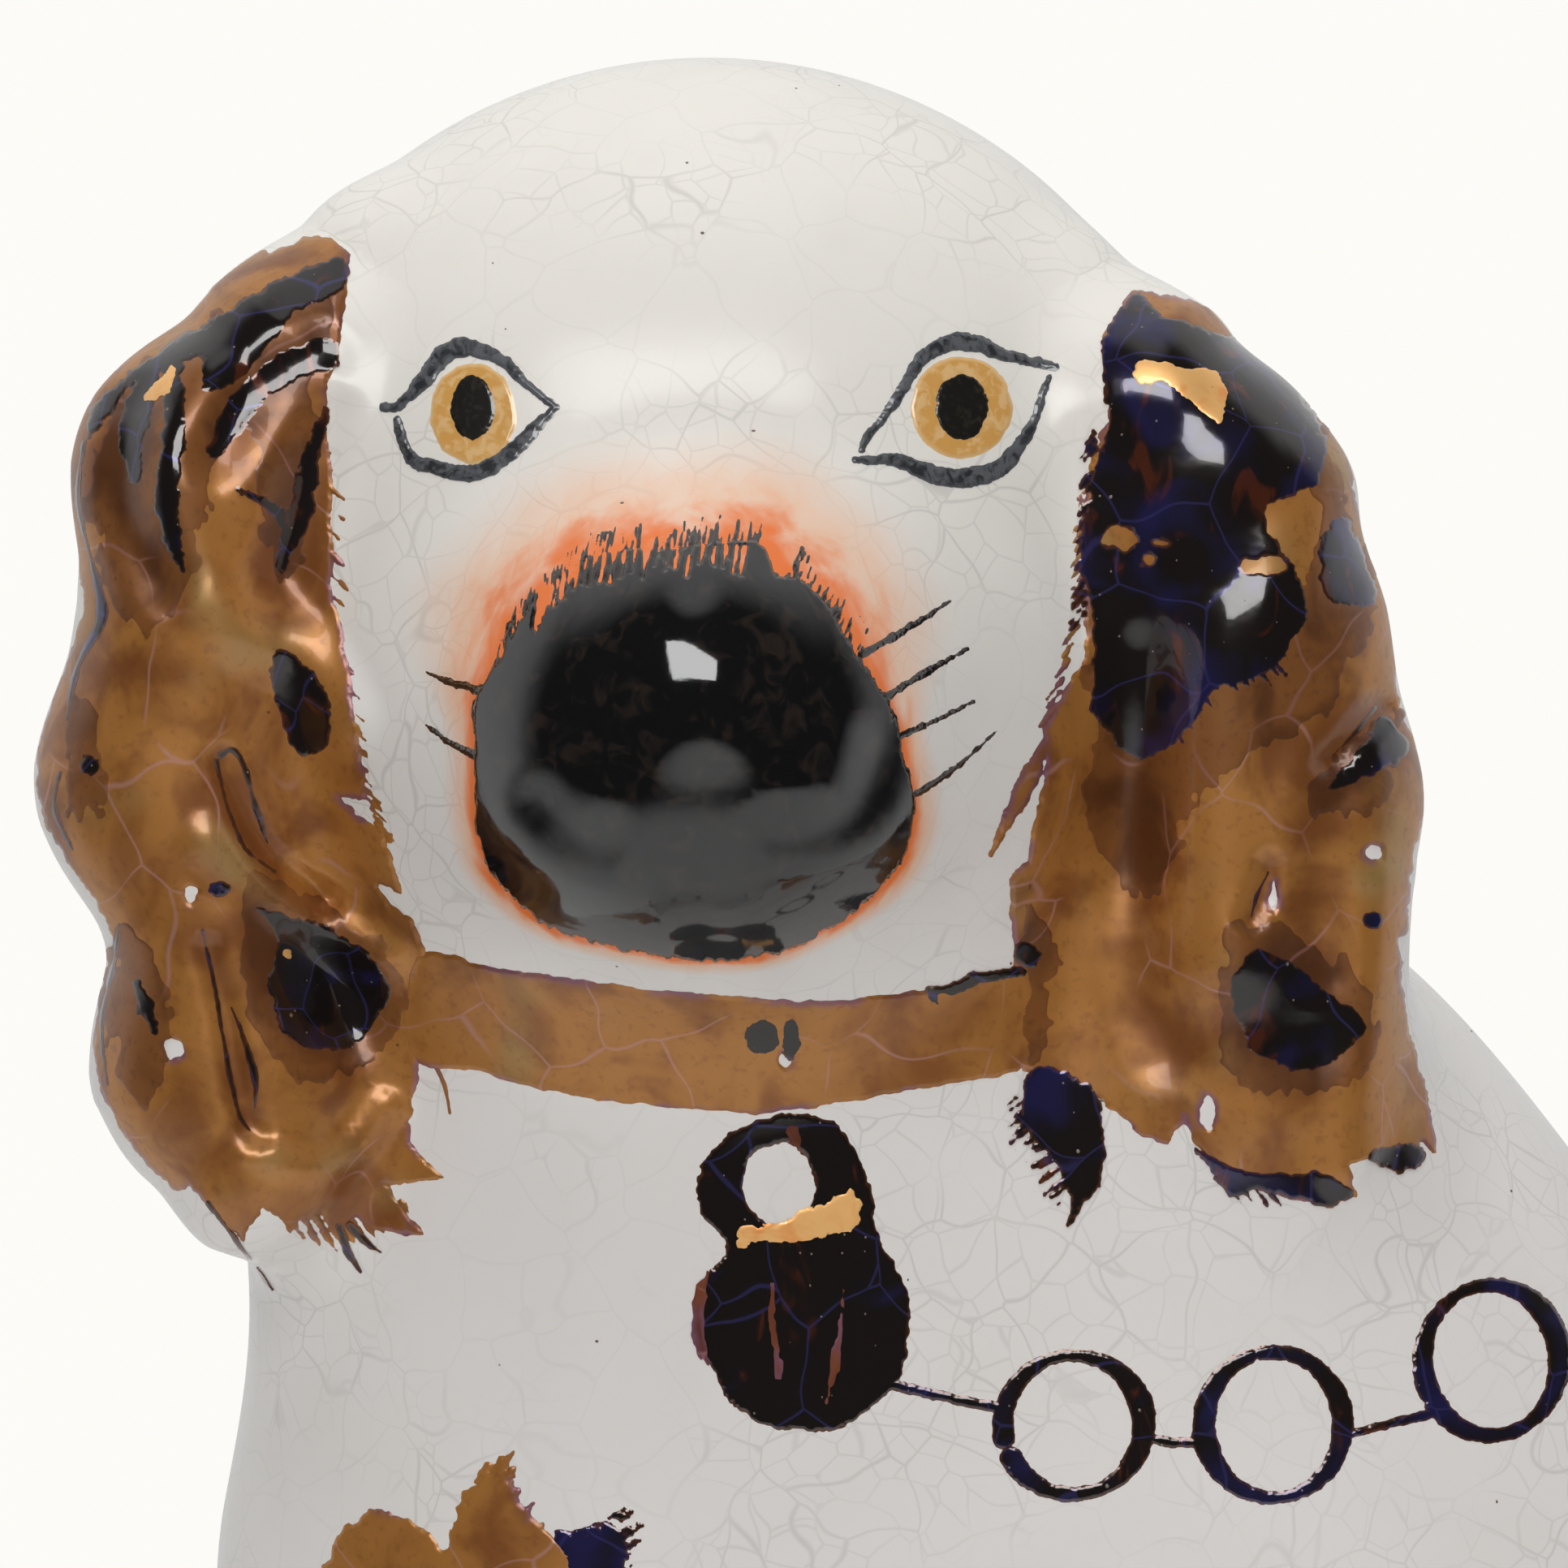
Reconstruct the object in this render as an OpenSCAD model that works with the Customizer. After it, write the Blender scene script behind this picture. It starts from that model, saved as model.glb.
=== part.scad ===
// Seated spaniel figurine, press-moulded earthenware.
// Two mould halves are luted along an upright seam plane, a pressed slab closes the foot, and the
// ears, the forelegs and the tail are separate pieces luted on before firing.
// The moulded form is one soft clay surface: ellipsoid masses that melt into each other.
// Front is -Y, up is +Z, and the origin is at the centre of the bounding box's underside.

/* [Overall size] */
// Width from the paws to the rump
figure_width = 192; // [160:1:240]
// Depth from the muzzle to the back
figure_depth = 96; // [80:1:120]
// Height from the table to the crown
figure_height = 254; // [200:1:320]

/* [Walls and base] */
// Thickness of the pressed clay wall
wall = 5; // [3:0.5:7]
// Thickness of the slab that closes the foot
slab_thickness = 5; // [3:0.5:8]
// Diameter of the vent hole that lets the kiln gases out
vent_diameter = 9; // [5:0.5:14]

/* [Seam roll] */
// How far the roll of clay stands off the inner wall
roll_thickness = 3; // [1.5:0.5:5]
// How far below the crown the roll ends
roll_stop = 26; // [15:1:60]

/* [Ears] */
// Added to the half width of every ear lock
ear_fullness = 0; // [-2:0.1:2]
// Half the depth of the ear locks
ear_half_depth = 14; // [10:0.5:17]

/* [Forelegs] */
// Half the thickness of a foreleg at the shoulder
shoulder_radius = 16; // [13:0.5:18]
// Half the thickness of a foreleg at the wrist
wrist_radius = 10; // [8:0.5:12]
// How far the toes reach in front of the wrist
toe_reach = 13; // [10:0.5:16]
// Half the thickness of a toe
toe_radius = 4.8; // [3.5:0.1:5.5]

/* [Tail] */
// Half the thickness of the tail at its root
tail_root_radius = 10.5; // [8:0.5:12]
// Half the thickness of the tail at its tip
tail_tip_radius = 6; // [4:0.5:7]

/* [Hidden] */

// Everything is set out for this size and stretched to the overall size above.
set_out = [192, 96, 254];
stretch = [figure_width / set_out.x, figure_depth / set_out.y, figure_height / set_out.z];
// The head's middle line and the seam plane, seen from the middle of the bounding box.
middle = [-34.2, 4.9, 0];

// Each mass: middle, half sizes, tilt about Y in degrees, and how far it melts into the ones before.
masses = [
    [[-1.5, 0, 213], [42.5, 34, 41], 0, 0],    // skull
    [[-1, -9, 197], [34, 30, 24], 0, 12],      // jaw
    [[-2, -31, 202], [19.5, 22, 19.5], 0, 9],  // muzzle
    [[-1, 0, 166], [41, 28, 36], 0, 14],       // throat
    [[34, 4, 148], [36, 28, 40], -20, 16],     // nape
    [[-2, 0, 122], [42, 32, 44], 0, 16],       // chest
    [[57, 4, 108], [45, 35, 66], -38, 18],     // back
    [[79, 3, 52], [51, 39, 56], 0, 18],        // rump
    [[30, 2, 44], [50, 33, 52], 0, 16],        // belly
    [[50, 1, 4], [66, 33, 22], 0, 22],         // seat
    [[72, -19, 46], [38, 23, 44], -10, 5],     // near thigh
    [[74, 20, 44], [36, 21, 40], -10, 6],      // far thigh
];
crown = 254;

// Lock by lock down each ear: middle, and half width. The last lock's share of the depth is less.
left_ear_line = [[-29, -8, 235, 7], [-35, -10, 228.5, 9.5], [-42, -13, 219.5, 11.8],
    [-43.5, -14, 208.5, 9.8], [-45, -14, 195, 12], [-41.5, -14, 183, 9.6], [-40.5, -14, 171.5, 12.3],
    [-38.5, -14, 164, 8.5], [-36, -12, 161, 6]];
right_ear_line = [[28, -8, 231, 6], [34, -11, 226, 9], [39, -13, 217.5, 12], [42, -14, 206, 12.8],
    [44.5, -14, 193, 13.2], [43, -14, 182, 13.2], [43, -13, 171, 14.5], [46, -11, 164, 13.5],
    [50, -9, 161, 10]];

// Joints of each limb: place, and the share of the way from the thick end to the thin end.
near_leg_line = [[-20, -15, 108, 0], [-25, -19, 92, 0.2], [-28, -22, 73, 0.5], [-30, -23, 52, 0.8],
    [-31, -23, 31, 1], [-32, -23, 10.5, 1]];
far_leg_line = [[-25, 13, 108, 0], [-33, 12, 92, 0.2], [-38, 10, 73, 0.5], [-41, 9, 52, 0.8],
    [-43, 8, 31, 1], [-44, 7, 10.5, 1]];
tail_line = [[111, 22, 12, 0], [118, 12, 13, 0], [120, -2, 14, 0.05], [116, -16, 16, 0.1],
    [109, -29, 20, 0.2], [99, -38, 27, 0.35], [90, -41, 37, 0.5], [85, -41, 49, 0.7],
    [86, -39, 60, 0.9], [92, -36, 67, 1]];
// The hind foot lies along the base in front of the near thigh.
hind_foot_line = [[68, -30, 11, 0], [57, -34, 10.5, 0.1], [46, -36, 9.5, 0.2], [35, -37, 9, 0.3],
    [26, -37, 8.5, 0.4]];
hind_foot_radius = 12;
hind_toe_radius = 4.8;

// The toes of a paw fan out by this much from one to the next.
toes = 4;
toe_step = 4.6;

// The shells are laid on a grid of levels and of stations round a leaning axis.
stations = 26;
levels = 52;
axis_foot = 40;
axis_head = 1;
axis_knee = 160;
outside_all = 150;
limb_facets = 18;
ear_facets = 24;
vent_facets = 48;

// Two vectors multiplied number by number.
function times(a, b) = [a.x * b.x, a.y * b.y, a.z * b.z];

// A place in the set-out frame, in the part's own frame.
function set_place(p) = times([p[0], p[1], p[2]] + middle, stretch);

// Signed gap from a point to an ellipsoid, negative inside.
function gap_to(p, m) =
    let (
        q = p - m[0],
        c = cos(m[2]),
        s = sin(m[2]),
        l = [c * q.x - s * q.z, q.y, s * q.x + c * q.z],
        r = m[1],
        a = norm([l.x / r.x, l.y / r.y, l.z / r.z]),
        b = norm([l.x / r.x ^ 2, l.y / r.y ^ 2, l.z / r.z ^ 2])
    )
    b < 1e-6 ? -min(r) : a * (a - 1) / b;

// Two gaps joined so that the masses flow together over the distance k.
function melt(a, b, k) =
    let (h = max(k - abs(a - b), 0) / k)
    min(a, b) - h * h * k / 4;

// Signed gap to the whole clay form.
function clay(p, i = len(masses) - 1) =
    i == 0 ? gap_to(p, masses[0]) : melt(clay(p, i - 1), gap_to(p, masses[i]), masses[i][3]);

// The leaning axis that the stations turn about.
function axis_at(z) =
    [axis_head + (axis_foot - axis_head) * max(0, axis_knee - z) / axis_knee, 0, z];

// Walks in from outside until the skin is met.
function skin_radius(c, d, r = outside_all, n = 60) =
    let (g = clay(c + r * d))
    r <= 0 ? 0 : n == 0 || abs(g) < 0.02 ? r : skin_radius(c, d, r - g, n - 1);

// Walks out from the axis until only the wall is left.
function hollow_radius(c, d, thick, r = 0, n = 60) =
    let (g = clay(c + r * d) + thick)
    r < 0 ? 0 : n == 0 || abs(g) < 0.02 ? r : hollow_radius(c, d, thick, r - g, n - 1);

// Heights of the levels, closer together towards the crown.
function level_height(k, top) = top * (0.62 * k / levels + 0.38 * sin(90 * k / levels));

// The slab and the wall in set-out sizes, so that they stay true when the figure is stretched.
slab_level = slab_thickness / stretch.z;
hollow_top = crown - wall / stretch.z;
wall_set_out = wall / ((stretch.x + stretch.y) / 2);

function hollow_height(k) =
    k == 0 ? 0 : slab_level + level_height(k - 1, hollow_top - slab_level);

function direction(j) = [cos(180 * j / stations), sin(180 * j / stations), 0];

function skin_point(k, j) =
    let (c = axis_at(level_height(k, crown)), d = direction(j))
    c + skin_radius(c, d) * d;

// The two lowest hollow levels stand straight over each other, for the slab to seat in.
function hollow_point(k, j) =
    let (
        z = hollow_height(k),
        c = axis_at(k <= 1 ? 0 : z),
        d = direction(j),
        p = c + hollow_radius(c, d, wall_set_out) * d
    )
    [p.x, p.y, z];

// Two triangles over one cell of a grid, with the corners in order round it.
function cell(a, b, c, d) = [[a, b, c], [a, c, d]];

// From the set-out frame to the part's own frame, for solids.
module set_down() {
    multmatrix([
        [stretch.x, 0, 0, middle.x * stretch.x],
        [0, stretch.y, 0, middle.y * stretch.y],
        [0, 0, stretch.z, 0]])
        children();
}

// One side of the shell over half a turn, closed along the seam, the foot and the crown.
module mould_half(first) {
    row = stations + 1;
    top = levels - 1;
    outer = [for (k = [0:top], j = [0:stations]) skin_point(k, first + j)];
    inner = [for (k = [0:top], j = [0:stations]) hollow_point(k, first + j)];
    n = len(outer);
    tops = [[axis_head, 0, crown], [axis_head, 0, hollow_top]];
    o = function (k, j) k * row + j;
    i = function (k, j) n + k * row + j;
    skins = [for (k = [0:top - 1], j = [0:stations - 1])
        each concat(
            cell(o(k, j), o(k + 1, j), o(k + 1, j + 1), o(k, j + 1)),
            cell(i(k, j), i(k, j + 1), i(k + 1, j + 1), i(k + 1, j)))];
    crowns = [for (j = [0:stations - 1])
        each [[o(top, j), 2 * n, o(top, j + 1)], [i(top, j), i(top, j + 1), 2 * n + 1]]];
    foot = [for (j = [0:stations - 1])
        each cell(o(0, j), o(0, j + 1), i(0, j + 1), i(0, j))];
    seams = [for (k = [0:top - 1])
        each concat(
            cell(o(k, 0), i(k, 0), i(k + 1, 0), o(k + 1, 0)),
            cell(o(k, stations), o(k + 1, stations), i(k + 1, stations), i(k, stations)))];
    crown_seams = concat(
        cell(o(top, 0), i(top, 0), 2 * n + 1, 2 * n),
        cell(o(top, stations), 2 * n, 2 * n + 1, i(top, stations)));
    set_down()
        polyhedron(concat(outer, inner, tops), concat(skins, crowns, foot, seams, crown_seams));
}

// A solid from full rings of points, one ring per level, with a middle point under and over them.
module ringed_solid(rings, under, over) {
    row = len(rings[0]);
    top = len(rings) - 1;
    n = len(rings) * row;
    o = function (k, j) k * row + j % row;
    polyhedron(
        concat([for (r = rings) each r], [over, under]),
        concat(
            [for (k = [0:top - 1], j = [0:row - 1])
                each cell(o(k, j), o(k + 1, j), o(k + 1, j + 1), o(k, j + 1))],
            [for (j = [0:row - 1])
                each [[o(top, j), n, o(top, j + 1)], [o(0, j), o(0, j + 1), n + 1]]]));
}

// The whole moulded form as one solid, which the luted pieces are cut back to.
module moulded_form() {
    rings = [for (k = [0:levels - 1]) [for (j = [0:2 * stations - 1]) skin_point(k, j)]];
    set_down() ringed_solid(rings, axis_at(0), [axis_head, 0, crown]);
}

// The hollow inside the two halves as one solid.
module hollow_form() {
    rings = [for (k = [0:levels - 1]) [for (j = [0:2 * stations - 1]) hollow_point(k, j)]];
    set_down() ringed_solid(rings, axis_at(0), [axis_head, 0, hollow_top]);
}

// Everything below the table.
module under_table() {
    translate([-figure_width, -figure_depth, -figure_height])
        cube([2 * figure_width, 2 * figure_depth, figure_height]);
}

// Cuts luted pieces back to the moulded form and to the table.
module luted() {
    difference() {
        children();
        moulded_form();
        under_table();
    }
}

// A limb of round joints, thick at one end and thin at the other.
module limb(line, thick, thin) {
    for (i = [0:len(line) - 2])
        hull()
            for (e = [line[i], line[i + 1]])
                translate(set_place(e))
                    sphere(r = thick + (thin - thick) * e[3], $fn = limb_facets);
}

// Toes that fan out from the last joint of a limb, towards the paw's tip.
module paw(wrist, radius, reach, toe) {
    base = set_place(wrist);
    for (t = [0:toes - 1])
        hull() {
            translate([base.x, base.y, radius * 0.8])
                sphere(r = radius * 0.8, $fn = limb_facets);
            translate([base.x - reach, base.y + (t - (toes - 1) / 2) * toe_step, toe])
                sphere(r = toe, $fn = limb_facets);
        }
}

module foreleg(line) {
    luted() {
        limb(line, shoulder_radius, wrist_radius);
        paw(line[len(line) - 1], wrist_radius, toe_reach, toe_radius);
    }
}

module hind_foot() {
    limb(hind_foot_line, hind_foot_radius, hind_foot_radius / 2);
    paw(hind_foot_line[len(hind_foot_line) - 1], hind_foot_radius * 0.8, toe_reach * 0.8,
        hind_toe_radius);
}

// Curled locks run together down the side of the head.
module ear(line) {
    last = len(line) - 1;
    luted()
        for (i = [0:last - 1])
            hull()
                for (t = [i, i + 1]) {
                    e = line[t];
                    half = e[3] + ear_fullness;
                    taper = t == 0 || t == last ? 0.6 : 1;
                    translate(set_place(e))
                        scale([half * stretch.x, ear_half_depth * taper, (half + 1) * stretch.z])
                            sphere(r = 1, $fn = ear_facets);
                }
}

// The hind foot is pressed in the same mould as the front half.
module front_half() {
    color("ivory") {
        mould_half(stations);
        difference() {
            hind_foot();
            hollow_form();
            under_table();
        }
    }
}

module back_half() {
    color("ivory") mould_half(0);
}

module base_slab() {
    edge = [for (j = [0:2 * stations - 1]) set_place(hollow_point(0, j))];
    vent = set_place(axis_at(0));
    color("antiquewhite")
        difference() {
            linear_extrude(slab_thickness)
                polygon([for (p = edge) [p.x, p.y]]);
            translate([vent.x, vent.y, -1])
                cylinder(d = vent_diameter, h = slab_thickness + 2, $fn = vent_facets);
        }
}

// One level of the roll: three points on the wall across the seam, then two that stand off it.
function roll_section(k, side) =
    let (
        on_wall = [for (j = [-1:1]) hollow_point(k, side + j)],
        c = axis_at(on_wall[1].z),
        inward = (c.x > on_wall[1].x ? 1 : -1) * roll_thickness / stretch.x,
        shoulders = [for (p = [on_wall[2], on_wall[0]]) (on_wall[1] + p) / 2 + [inward, 0, 0]]
    )
    concat(on_wall, shoulders);

// A roll of clay thumbed over the seam inside, up the chest side and up the back side.
module seam_roll() {
    last = max([for (k = [1:levels - 1]) if (hollow_height(k) * stretch.z <= figure_height - roll_stop) k]);
    color("antiquewhite")
        for (side = [0, stations]) {
            rings = [for (k = [1:last]) roll_section(k, side)];
            middle_of = function (ring) (ring[1] + ring[3] + ring[4]) / 3;
            set_down() ringed_solid(rings, middle_of(rings[0]), middle_of(rings[last - 1]));
        }
}

module left_ear() {
    color("peru") ear(left_ear_line);
}

module right_ear() {
    color("peru") ear(right_ear_line);
}

module near_foreleg() {
    color("ivory") foreleg(near_leg_line);
}

module far_foreleg() {
    color("ivory") foreleg(far_leg_line);
}

module tail() {
    color("peru")
        luted()
            limb(tail_line, tail_root_radius, tail_tip_radius);
}

front_half();
back_half();
base_slab();
seam_roll();
left_ear();
right_ear();
near_foreleg();
far_foreleg();
tail();
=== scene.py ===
"""Seated spaniel figurine in glazed, enamelled and lustred earthenware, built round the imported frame."""

from __future__ import annotations

import logging
import math
from dataclasses import dataclass
from enum import Enum
from typing import Callable, Sequence

import bpy
import numpy as np
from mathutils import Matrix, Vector


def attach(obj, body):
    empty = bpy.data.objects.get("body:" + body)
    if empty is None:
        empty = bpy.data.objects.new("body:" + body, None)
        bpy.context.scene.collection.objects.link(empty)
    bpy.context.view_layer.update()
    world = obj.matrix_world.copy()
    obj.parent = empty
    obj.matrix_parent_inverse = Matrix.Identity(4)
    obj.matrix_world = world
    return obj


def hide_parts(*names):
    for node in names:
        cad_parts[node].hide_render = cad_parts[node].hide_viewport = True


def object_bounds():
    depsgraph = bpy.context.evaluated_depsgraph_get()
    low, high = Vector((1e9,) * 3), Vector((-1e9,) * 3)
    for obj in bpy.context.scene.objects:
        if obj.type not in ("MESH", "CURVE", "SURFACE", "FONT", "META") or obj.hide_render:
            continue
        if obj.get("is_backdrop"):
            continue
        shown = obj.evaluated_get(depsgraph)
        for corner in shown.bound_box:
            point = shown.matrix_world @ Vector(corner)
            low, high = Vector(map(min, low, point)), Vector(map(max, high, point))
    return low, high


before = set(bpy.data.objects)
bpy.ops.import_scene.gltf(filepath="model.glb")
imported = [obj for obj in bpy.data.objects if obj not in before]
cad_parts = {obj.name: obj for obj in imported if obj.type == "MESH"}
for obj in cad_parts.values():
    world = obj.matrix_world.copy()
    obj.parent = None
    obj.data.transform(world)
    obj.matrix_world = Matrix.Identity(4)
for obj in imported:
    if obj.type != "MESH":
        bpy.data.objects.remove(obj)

LOG = logging.getLogger("spaniel")
MM = 0.001
BRUSH_MARGIN = 3.0
TOE_SPACING = 4.6
FORE_TOE_REACH = 12.6
HIND_TOE_REACH = 10.4
Array = np.ndarray
Field = Callable[[Array], Array]
Place = tuple[float, float, float]
Mark = tuple[float, float]
Joints = tuple[tuple[float, ...], ...]


# Clay: soft masses and lofts that melt into each other. All sizes are millimetres, set out from
# the head's middle line, the seam plane and the table.


def smooth_step(low: float, high: float, value: Array) -> Array:
    """Eases from 0 at low to 1 at high."""
    t = np.clip((value - low) / (high - low), 0.0, 1.0)
    return t * t * (3.0 - 2.0 * t)


def melt(a: Array, b: Array, reach: float) -> Array:
    """Joins two gaps so that the masses flow together, from a reach either side of the crease."""
    flow = np.maximum(reach - np.abs(a - b), 0.0) / reach
    return np.minimum(a, b) - flow * flow * reach / 4.0


def ellipsoid_gap(local: Array, half: Array) -> Array:
    """Signed gap, negative inside, from points about an ellipsoid's middle to its surface."""
    near = np.linalg.norm(local / half, axis=1)
    slope = np.linalg.norm(local / half**2, axis=1)
    return near * (near - 1.0) / np.maximum(slope, 1e-9)


def within(points: Array, low: Array, high: Array) -> Array:
    """Which points lie between two corners."""
    return np.all((points > low) & (points < high), axis=1)


@dataclass(frozen=True)
class Mass:
    """One ellipsoid of clay.

    Attributes:
        middle: Where it lies.
        half: Its half sizes.
        tilt: Its turn about the depth axis, in degrees.
        reach: How far it melts into the masses before it.
    """

    middle: Place
    half: Place
    tilt: float = 0.0
    reach: float = 0.0

    def gap(self, points: Array) -> Array:
        """Signed gap from each point to this mass."""
        q = points - np.array(self.middle)
        c, s = math.cos(math.radians(self.tilt)), math.sin(math.radians(self.tilt))
        local = np.stack((c * q[:, 0] - s * q[:, 2], q[:, 1], s * q[:, 0] + c * q[:, 2]), axis=1)
        return ellipsoid_gap(local, np.array(self.half))


@dataclass(frozen=True)
class Loft:
    """Ellipsoids run together from joint to joint.

    Attributes:
        joints: Middle and half sizes of each joint, six numbers.
        reach: How far the loft melts into what it is luted to.
    """

    joints: Joints
    reach: float

    def bounds(self, margin: float) -> tuple[Array, Array]:
        """Lowest and highest corners of the loft, let out by a margin."""
        joints = np.array(self.joints)
        low = (joints[:, :3] - joints[:, 3:]).min(axis=0) - margin
        high = (joints[:, :3] + joints[:, 3:]).max(axis=0) + margin
        return low, high

    def gap(self, points: Array) -> Array:
        """Signed gap from each point to this loft, no more than its outer margin where it is far off."""
        margin = 16.0
        low, high = self.bounds(margin)
        near = within(points, low, high)
        gaps = np.full(len(points), margin)
        p = points[near]
        if not len(p):
            return gaps
        found = np.full(len(p), margin)
        joints = np.array(self.joints)
        for a, b in zip(joints, joints[1:]):
            along = b[:3] - a[:3]
            t = np.clip((p - a[:3]) @ along / (along @ along), 0.0, 1.0)[:, None]
            half = a[3:] + t * (b[3:] - a[3:])
            found = melt(found, ellipsoid_gap(p - a[:3] - t * along, half), 1.5)
        gaps[near] = np.minimum(found, margin)
        return gaps


@dataclass(frozen=True)
class Sight:
    """The point from which the decoration is set out, and the upright plane it is drawn on.

    Attributes:
        middle: Where the line of sight meets the drawing plane.
        distance: How far the eye stands from that plane.
        elevation: How far the eye looks down, in degrees.
    """

    middle: Place = (4.9, 0.0, 192.5)
    distance: float = 640.0
    elevation: float = 8.0

    def axes(self) -> tuple[Array, Array, Array]:
        """Right, up and forward of the line of sight."""
        e = math.radians(self.elevation)
        forward = np.array((0.0, math.cos(e), -math.sin(e)))
        up = np.array((0.0, math.sin(e), math.cos(e)))
        return np.array((1.0, 0.0, 0.0)), up, forward

    def eye(self) -> Array:
        """The place of the eye."""
        return np.array(self.middle) - self.distance * self.axes()[2]

    def drawn(self, points: Array) -> Array:
        """Where points fall on the drawing plane: across from the head's middle, and up from the table."""
        right, up, forward = self.axes()
        q = points - self.eye()
        scale = self.distance / (q @ forward)
        return np.stack((self.middle[0] + (q @ right) * scale, self.middle[2] + (q @ up) * scale), axis=1)


SIGHT = Sight()


def line_distance(marks: Array, line: Array) -> tuple[Array, Array]:
    """Distance from drawn points to a broken line, and the share of its length at the nearest place."""
    best = np.full(len(marks), np.inf)
    share = np.zeros(len(marks))
    lengths = np.linalg.norm(np.diff(line, axis=0), axis=1)
    starts = np.concatenate(((0.0,), np.cumsum(lengths)))
    for i, (a, b) in enumerate(zip(line, line[1:])):
        along = b - a
        t = np.clip((marks - a) @ along / max(along @ along, 1e-12), 0.0, 1.0)
        d = np.linalg.norm(marks - a - t[:, None] * along, axis=1)
        nearer = d < best
        best[nearer] = d[nearer]
        share[nearer] = (starts[i] + t[nearer] * lengths[i]) / max(starts[-1], 1e-12)
    return best, share


def curve_through(marks: Sequence[Mark], closed: bool = False, steps: int = 6) -> Array:
    """A smooth curve through a few marks.

    Args:
        marks: The marks, in order.
        closed: Whether it returns to the first mark.
        steps: Points from one mark to the next.

    Returns:
        The curve's points.
    """
    p = np.array(marks, float)
    n = len(p)
    spans = n if closed else n - 1
    points = []
    for i in range(spans):
        if closed:
            a, b, c, d = (p[(i + k) % n] for k in (-1, 0, 1, 2))
        else:
            a, b, c, d = (p[min(max(i + k, 0), n - 1)] for k in (-1, 0, 1, 2))
        bend = 2 * a - 5 * b + 4 * c - d
        twist = 3 * b - a - 3 * c + d
        for t in np.arange(steps) / steps:
            points.append(0.5 * (2 * b + (c - a) * t + bend * t**2 + twist * t**3))
    if not closed:
        points.append(p[-1])
    return np.array(points)


@dataclass(frozen=True)
class Ridge:
    """A modelled ridge, or a groove where its height is negative.

    Attributes:
        marks: Where it runs on the drawing plane.
        half_width: From its middle to where it dies out.
        height: How far it stands off the clay.
    """

    marks: tuple[Mark, ...]
    half_width: float
    height: float

    def rise(self, drawn: Array) -> Array:
        """How far the clay rises at drawn points."""
        line = curve_through(self.marks, steps=4)
        low, high = line.min(axis=0) - self.half_width, line.max(axis=0) + self.half_width
        near = within(drawn, low, high)
        rise = np.zeros(len(drawn))
        if near.any():
            distance, _ = line_distance(drawn[near], line)
            rise[near] = self.height * (1.0 - smooth_step(0.0, self.half_width, distance))
        return rise


# Skins: the surface of the clay as loose triangles, cut into pieces and films.


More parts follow.
